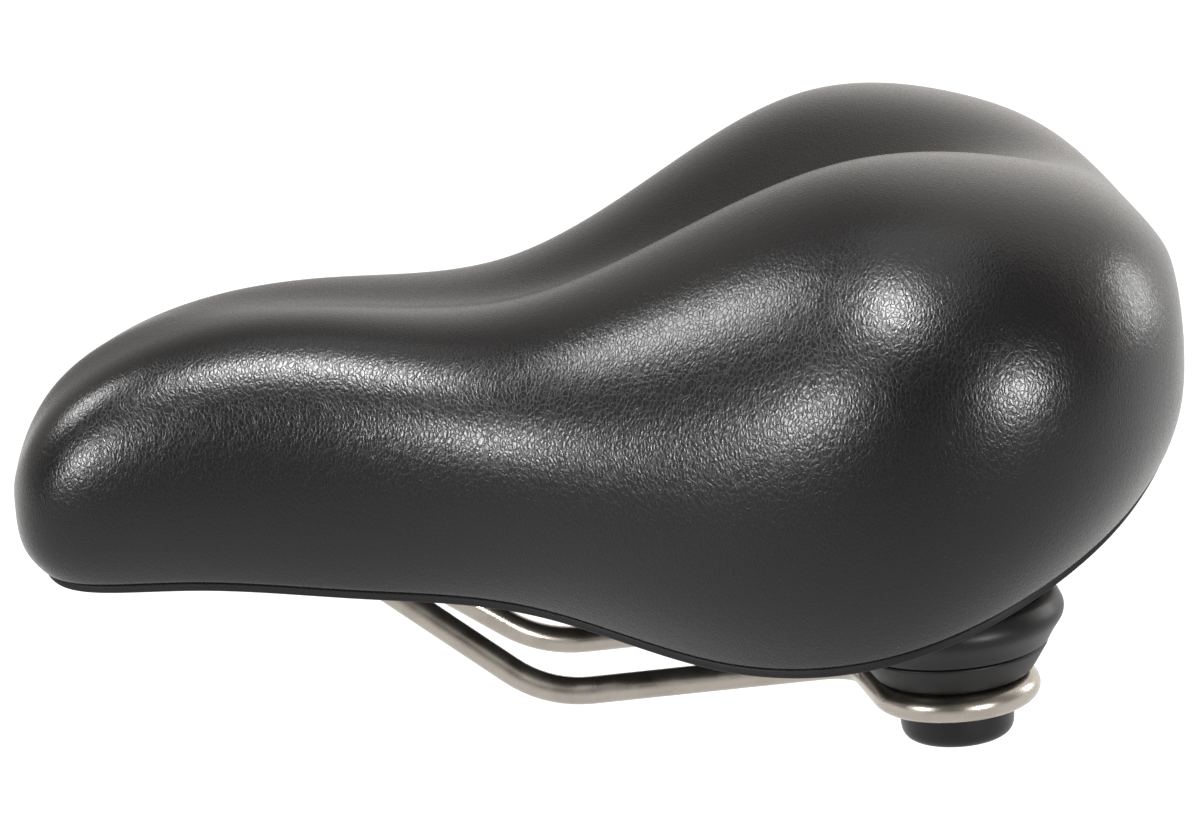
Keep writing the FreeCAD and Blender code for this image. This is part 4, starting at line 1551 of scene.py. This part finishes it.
@dataclass(frozen=True)
class Fasteners:
    """Bolts, washers, sleeves and nuts of the spring stacks, and the nose screws."""

    placing: PlacingTree
    bolt_radius: float = 3.0
    head_radius: float = 5.0
    head_height: float = 6.0
    socket_flats: float = 5.0
    socket_depth: float = 3.5
    nut_flats: float = 10.0
    clearance_hole: float = 3.3
    washer_radius: float = 6.3
    sleeve_radius: float = 6.5
    screw_head: float = 3.8
    screw_head_height: float = 2.4
    screw_shank: float = 2.0
    recess_bar: float = 1.1
    recess_depth: float = 1.5
    recess_spread: tuple[float, float] = (3.6, 0.8)

    def hexagon(self, name: str, flats: float, low: float, high: float) -> bpy.types.Object:
        """An upright hexagonal bar at the origin."""
        radius = flats / math.sqrt(3)
        ring = [
            (radius * math.cos(TAU * i / 6) * MM, radius * math.sin(TAU * i / 6) * MM)
            for i in range(6)
        ]
        points = np.array(
            [(x, y, low * MM) for x, y in ring] + [(x, y, high * MM) for x, y in ring]
        )
        sides = [(i, (i + 1) % 6, 6 + (i + 1) % 6, 6 + i) for i in range(6)]
        return new_object(name, points, sides + [tuple(range(5, -1, -1)), tuple(range(6, 12))])

    def spots(self, node: str) -> list[np.ndarray]:
        """The middle of the underside of a CAD node on each side."""
        return [foot_of(f"{node}_{side.word}") for side in Side]

    def bolt(self) -> bpy.types.Object:
        """A socket head bolt, head down, at the origin."""
        tall = tall_of("bolt_left")
        outline = rounded_profile(
            [
                (0.0, 0.0, 0),
                (self.head_radius, 0.0, 0.7),
                (self.head_radius, self.head_height, 0.3),
                (self.bolt_radius, self.head_height, 0.2),
                (self.bolt_radius, tall, 0.8),
                (0.0, tall, 0),
            ],
            steps=3,
        )
        bolt = turned_piece("bolt_pattern", outline, np.zeros(3), sides=48)
        cutter = self.hexagon("socket_cutter", self.socket_flats, -1.0, self.socket_depth)
        cut_out(bolt, cutter)
        return bolt

    def tube(self, name: str, outer: float, inner: float, tall: float) -> bpy.types.Object:
        """A washer or a sleeve at the origin."""
        outline = rounded_profile(
            [(inner, 0.0, 0.15), (outer, 0.0, 0.25), (outer, tall, 0.25), (inner, tall, 0.15)],
            steps=2,
        )
        return turned_piece(name, outline, np.zeros(3), sides=48)

    def nut(self) -> bpy.types.Object:
        """A hexagon nut at the origin, with its bolt hole."""
        tall = tall_of("nut_left")
        nut = self.hexagon("nut_pattern", self.nut_flats, 0.0, tall)
        hole = self.tube("nut_hole", self.bolt_radius, 0.01, tall + 2)
        hole.data.transform(Matrix.Translation((0, 0, -MM)))
        cut_out(nut, hole)
        return nut

    def screw(self) -> bpy.types.Object:
        """A pan head screw, head down, with a cross recess, at the origin."""
        tall = tall_of("nose_screws")
        outline = rounded_profile(
            [
                (0.0, 0.0, 0),
                (self.screw_head, 0.0, 1.2),
                (self.screw_head, self.screw_head_height, 0.2),
                (self.screw_shank, self.screw_head_height, 0.1),
                (self.screw_shank, tall, 0.8),
                (0.0, tall, 0),
            ],
            steps=4,
        )
        screw = turned_piece("screw_pattern", outline, np.zeros(3), sides=40)
        for turn in (0, math.pi / 2):
            blade = self.hexagon("recess_cutter", self.recess_bar, -1.0, self.recess_depth)
            spread = Matrix.Diagonal((*self.recess_spread, 1, 1))
            blade.data.transform(Matrix.Rotation(turn, 4, "Z") @ spread)
            cut_out(screw, blade)
        return screw

    def screw_spots(self) -> list[np.ndarray]:
        """The undersides of the three nose screw heads."""
        low, high = (np.array(corner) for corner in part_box("nose_screws"))
        inset = self.screw_head * MM
        return [
            np.array((high[0] - inset, high[1] - inset, low[2])),
            np.array((high[0] - inset, low[1] + inset, low[2])),
            np.array((low[0] + inset, 0.0, low[2])),
        ]

    def build(self, finishes: Finishes) -> None:
        """Build and dress every fastener."""
        hole = self.clearance_hole
        washer = self.tube("washer_pattern", self.washer_radius, hole, tall_of("washer_left"))
        sleeve = self.tube(
            "sleeve_pattern", self.sleeve_radius, hole, tall_of("spacer_sleeve_left")
        )
        stacks = [
            ("stack_bolts", self.bolt(), "bolt", 0.4),
            ("stack_washers", washer, "washer", 0.0),
            ("stack_sleeves", sleeve, "spacer_sleeve", 0.0),
            ("stack_nuts", self.nut(), "nut", 0.0),
        ]
        sets = [
            (name, pattern, self.spots(stem), (f"{stem}_left", f"{stem}_right"), turn)
            for name, pattern, stem, turn in stacks
        ]
        sets.append(("socket_screws", self.screw(), self.screw_spots(), ("nose_screws",), 0.7))
        for name, pattern, spots, nodes, turn in sets:
            piece = self.placing.place(name, spots, pattern, finishes.zinc, turn)
            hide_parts(*nodes)
            dress(piece, finishes.zinc, Body.SEAT)


class NoseSocket:
    """The two moulded halves that hold the crossbar."""

    def build(self, finishes: Finishes) -> None:
        """Finish and dress socket and clip."""
        for name, node in (("nose_socket_block", "nose_socket"), ("nose_clip_plate", "nose_clip")):
            piece = finished_copy(name, node, bevel=0.35)
            dress(piece, finishes.base, Body.SEAT)


# ---------------------------------------------------------------------------------------------
# Studio
# ---------------------------------------------------------------------------------------------


@dataclass(frozen=True)
class Softbox:
    """One light: its direction from the saddle in degrees, then metres and watts."""

    name: str
    turn: float
    rise: float
    away: float
    width: float
    height: float
    power: float
    shine_only: bool = True


@dataclass(frozen=True)
class Studio:
    """Floor, lights and camera."""

    lamps: tuple[Softbox, ...] = (
        Softbox("front_low", 48, 8, 1.3, 0.17, 0.17, 8.0),
        Softbox("front_high", 28, 44, 1.3, 0.24, 0.32, 17.0),
        Softbox("back_low", -29, 1, 1.2, 0.20, 0.20, 8.5),
        Softbox("tail_side", -107, 10, 1.2, 0.22, 0.42, 3.2),
        Softbox("nose_side", 88, 37, 1.3, 0.34, 0.34, 9.5),
        Softbox("overhead", 10, 72, 1.5, 1.2, 1.2, 6.0, shine_only=False),
    )
    floor_glow: float = 0.85
    floor_dim: float = 0.12
    floor_span: tuple[float, float] = (0.6, -0.02)
    room_light: float = 0.25
    backdrop_light: float = 1.0
    room_span: tuple[float, float] = (0.35, -0.25)
    end_span: tuple[float, float] = (-0.25, 0.25)
    tail_share: float = 1.3
    nose_share: float = 0.6
    target: tuple[float, float, float] = (0.0216, 0.0, 0.0651)
    distance: float = 0.96
    elevation: float = 14.29
    turn: float = -1.08
    roll: float = 5.62
    lens: float = 113.64
    floor_drop: float = 0.09
    floor_reach: float = 6.0
    floor_colour: tuple[float, ...] = (0.5, 0.5, 0.5, 1)
    sky_colour: tuple[float, ...] = (1.0, 0.965, 0.93, 1)

    def camera(self) -> None:
        """Aim the camera at the left side from slightly above."""
        raise_angle, turn = math.radians(self.elevation), math.radians(self.turn)
        ahead = Vector(
            (
                math.sin(turn) * math.cos(raise_angle),
                -math.cos(turn) * math.cos(raise_angle),
                -math.sin(raise_angle),
            )
        )
        level = Vector((-math.cos(turn), -math.sin(turn), 0))
        upright = level.cross(ahead)
        roll = math.radians(self.roll)
        right = level * math.cos(roll) - upright * math.sin(roll)
        up = level * math.sin(roll) + upright * math.cos(roll)
        data = bpy.data.cameras.new("camera")
        data.lens = self.lens
        data.sensor_width = 36
        data.clip_start = 0.05
        eye = Vector(self.target) - ahead * self.distance
        camera = add_object("camera", data)
        camera.matrix_world = Matrix.Translation(eye) @ Matrix(
            ((right.x, up.x, -ahead.x), (right.y, up.y, -ahead.y), (right.z, up.z, -ahead.z))
        ).to_4x4()
        bpy.context.scene.camera = camera

    def lamp(self, lamp: Softbox) -> None:
        """Hang a softbox so that it faces the saddle."""
        data = bpy.data.lights.new(lamp.name, "AREA")
        data.shape = "RECTANGLE"
        data.size, data.size_y = lamp.width, lamp.height
        data.energy = lamp.power
        made = add_object(lamp.name, data)
        made.visible_diffuse = not lamp.shine_only
        turn, rise = math.radians(lamp.turn), math.radians(lamp.rise)
        ahead = Vector(
            (math.sin(turn) * math.cos(rise), math.cos(turn) * math.cos(rise), math.sin(rise))
        )
        place = Vector(self.target) + ahead * lamp.away
        facing = (-ahead).to_track_quat("-Z", "Y").to_matrix().to_4x4()
        made.matrix_world = Matrix.Translation(place) @ facing

    def stage(self) -> None:
        """Lay the pale floor, which glows behind the saddle."""
        reach = self.floor_reach
        corners = ((-reach, -reach), (reach, -reach), (reach, reach), (-reach, reach))
        points = np.array([(x, y, -self.floor_drop) for x, y in corners])
        floor = new_object("studio_floor", points, [(0, 1, 2, 3)])
        sheet = Sheet("studio_white", Roughness=0.9, Specular_IOR_Level=0.1)
        sheet.shader.inputs["Base Color"].default_value = self.floor_colour
        sheet.shader.inputs["Emission Strength"].default_value = 1.0
        across = sheet.node("ShaderNodeSeparateXYZ", {0: sheet.place}).outputs["Y"]
        levels = (self.floor_dim, self.floor_glow)
        sheet.feed("Emission Color", eased_range(sheet.tree, across, self.floor_span, levels))
        floor.data.materials.append(sheet.material)

    def room(self) -> None:
        """Light the room from behind the saddle, more so towards the tail."""
        world = bpy.data.worlds.new("studio")
        world.use_nodes = True
        tree = world.node_tree
        place = add_node(tree, "ShaderNodeTexCoord").outputs["Generated"]
        split = add_node(tree, "ShaderNodeSeparateXYZ", {0: place})
        depth_levels = (self.room_light, self.backdrop_light)
        glow = eased_range(tree, split.outputs["Y"], self.room_span, depth_levels)
        sky = tree.nodes["Background"]
        sky.inputs["Color"].default_value = self.sky_colour
        end_levels = (self.tail_share, self.nose_share)
        toward_tail = eased_range(tree, split.outputs["X"], self.end_span, end_levels)
        strength = add_node(
            tree, "ShaderNodeMath", {0: glow, 1: toward_tail}, operation="MULTIPLY"
        )
        tree.links.new(strength.outputs["Value"], sky.inputs["Strength"])
        bpy.context.scene.world = world

    def build(self) -> None:
        """Set up the whole studio."""
        bpy.context.scene.view_settings.view_transform = "Standard"
        self.stage()
        self.room()
        for lamp in self.lamps:
            self.lamp(lamp)
        self.camera()


def main() -> None:
    """Build the saddle in order and report each piece."""
    logging.basicConfig(level=logging.INFO, format="%(name)s %(message)s")
    finishes = Finishes()
    sweeps = SweepTree()
    shape = SeatShape()
    SeatCover(shape).build(finishes)
    Base(shape).build(finishes, sweeps)
    WireFrame().build(finishes, sweeps)
    for side in Side:
        SpringStack(side).build(finishes)
    NoseSocket().build(finishes)
    Fasteners(PlacingTree()).build(finishes)
    Studio().build()


if __name__ == "__main__":
    main()
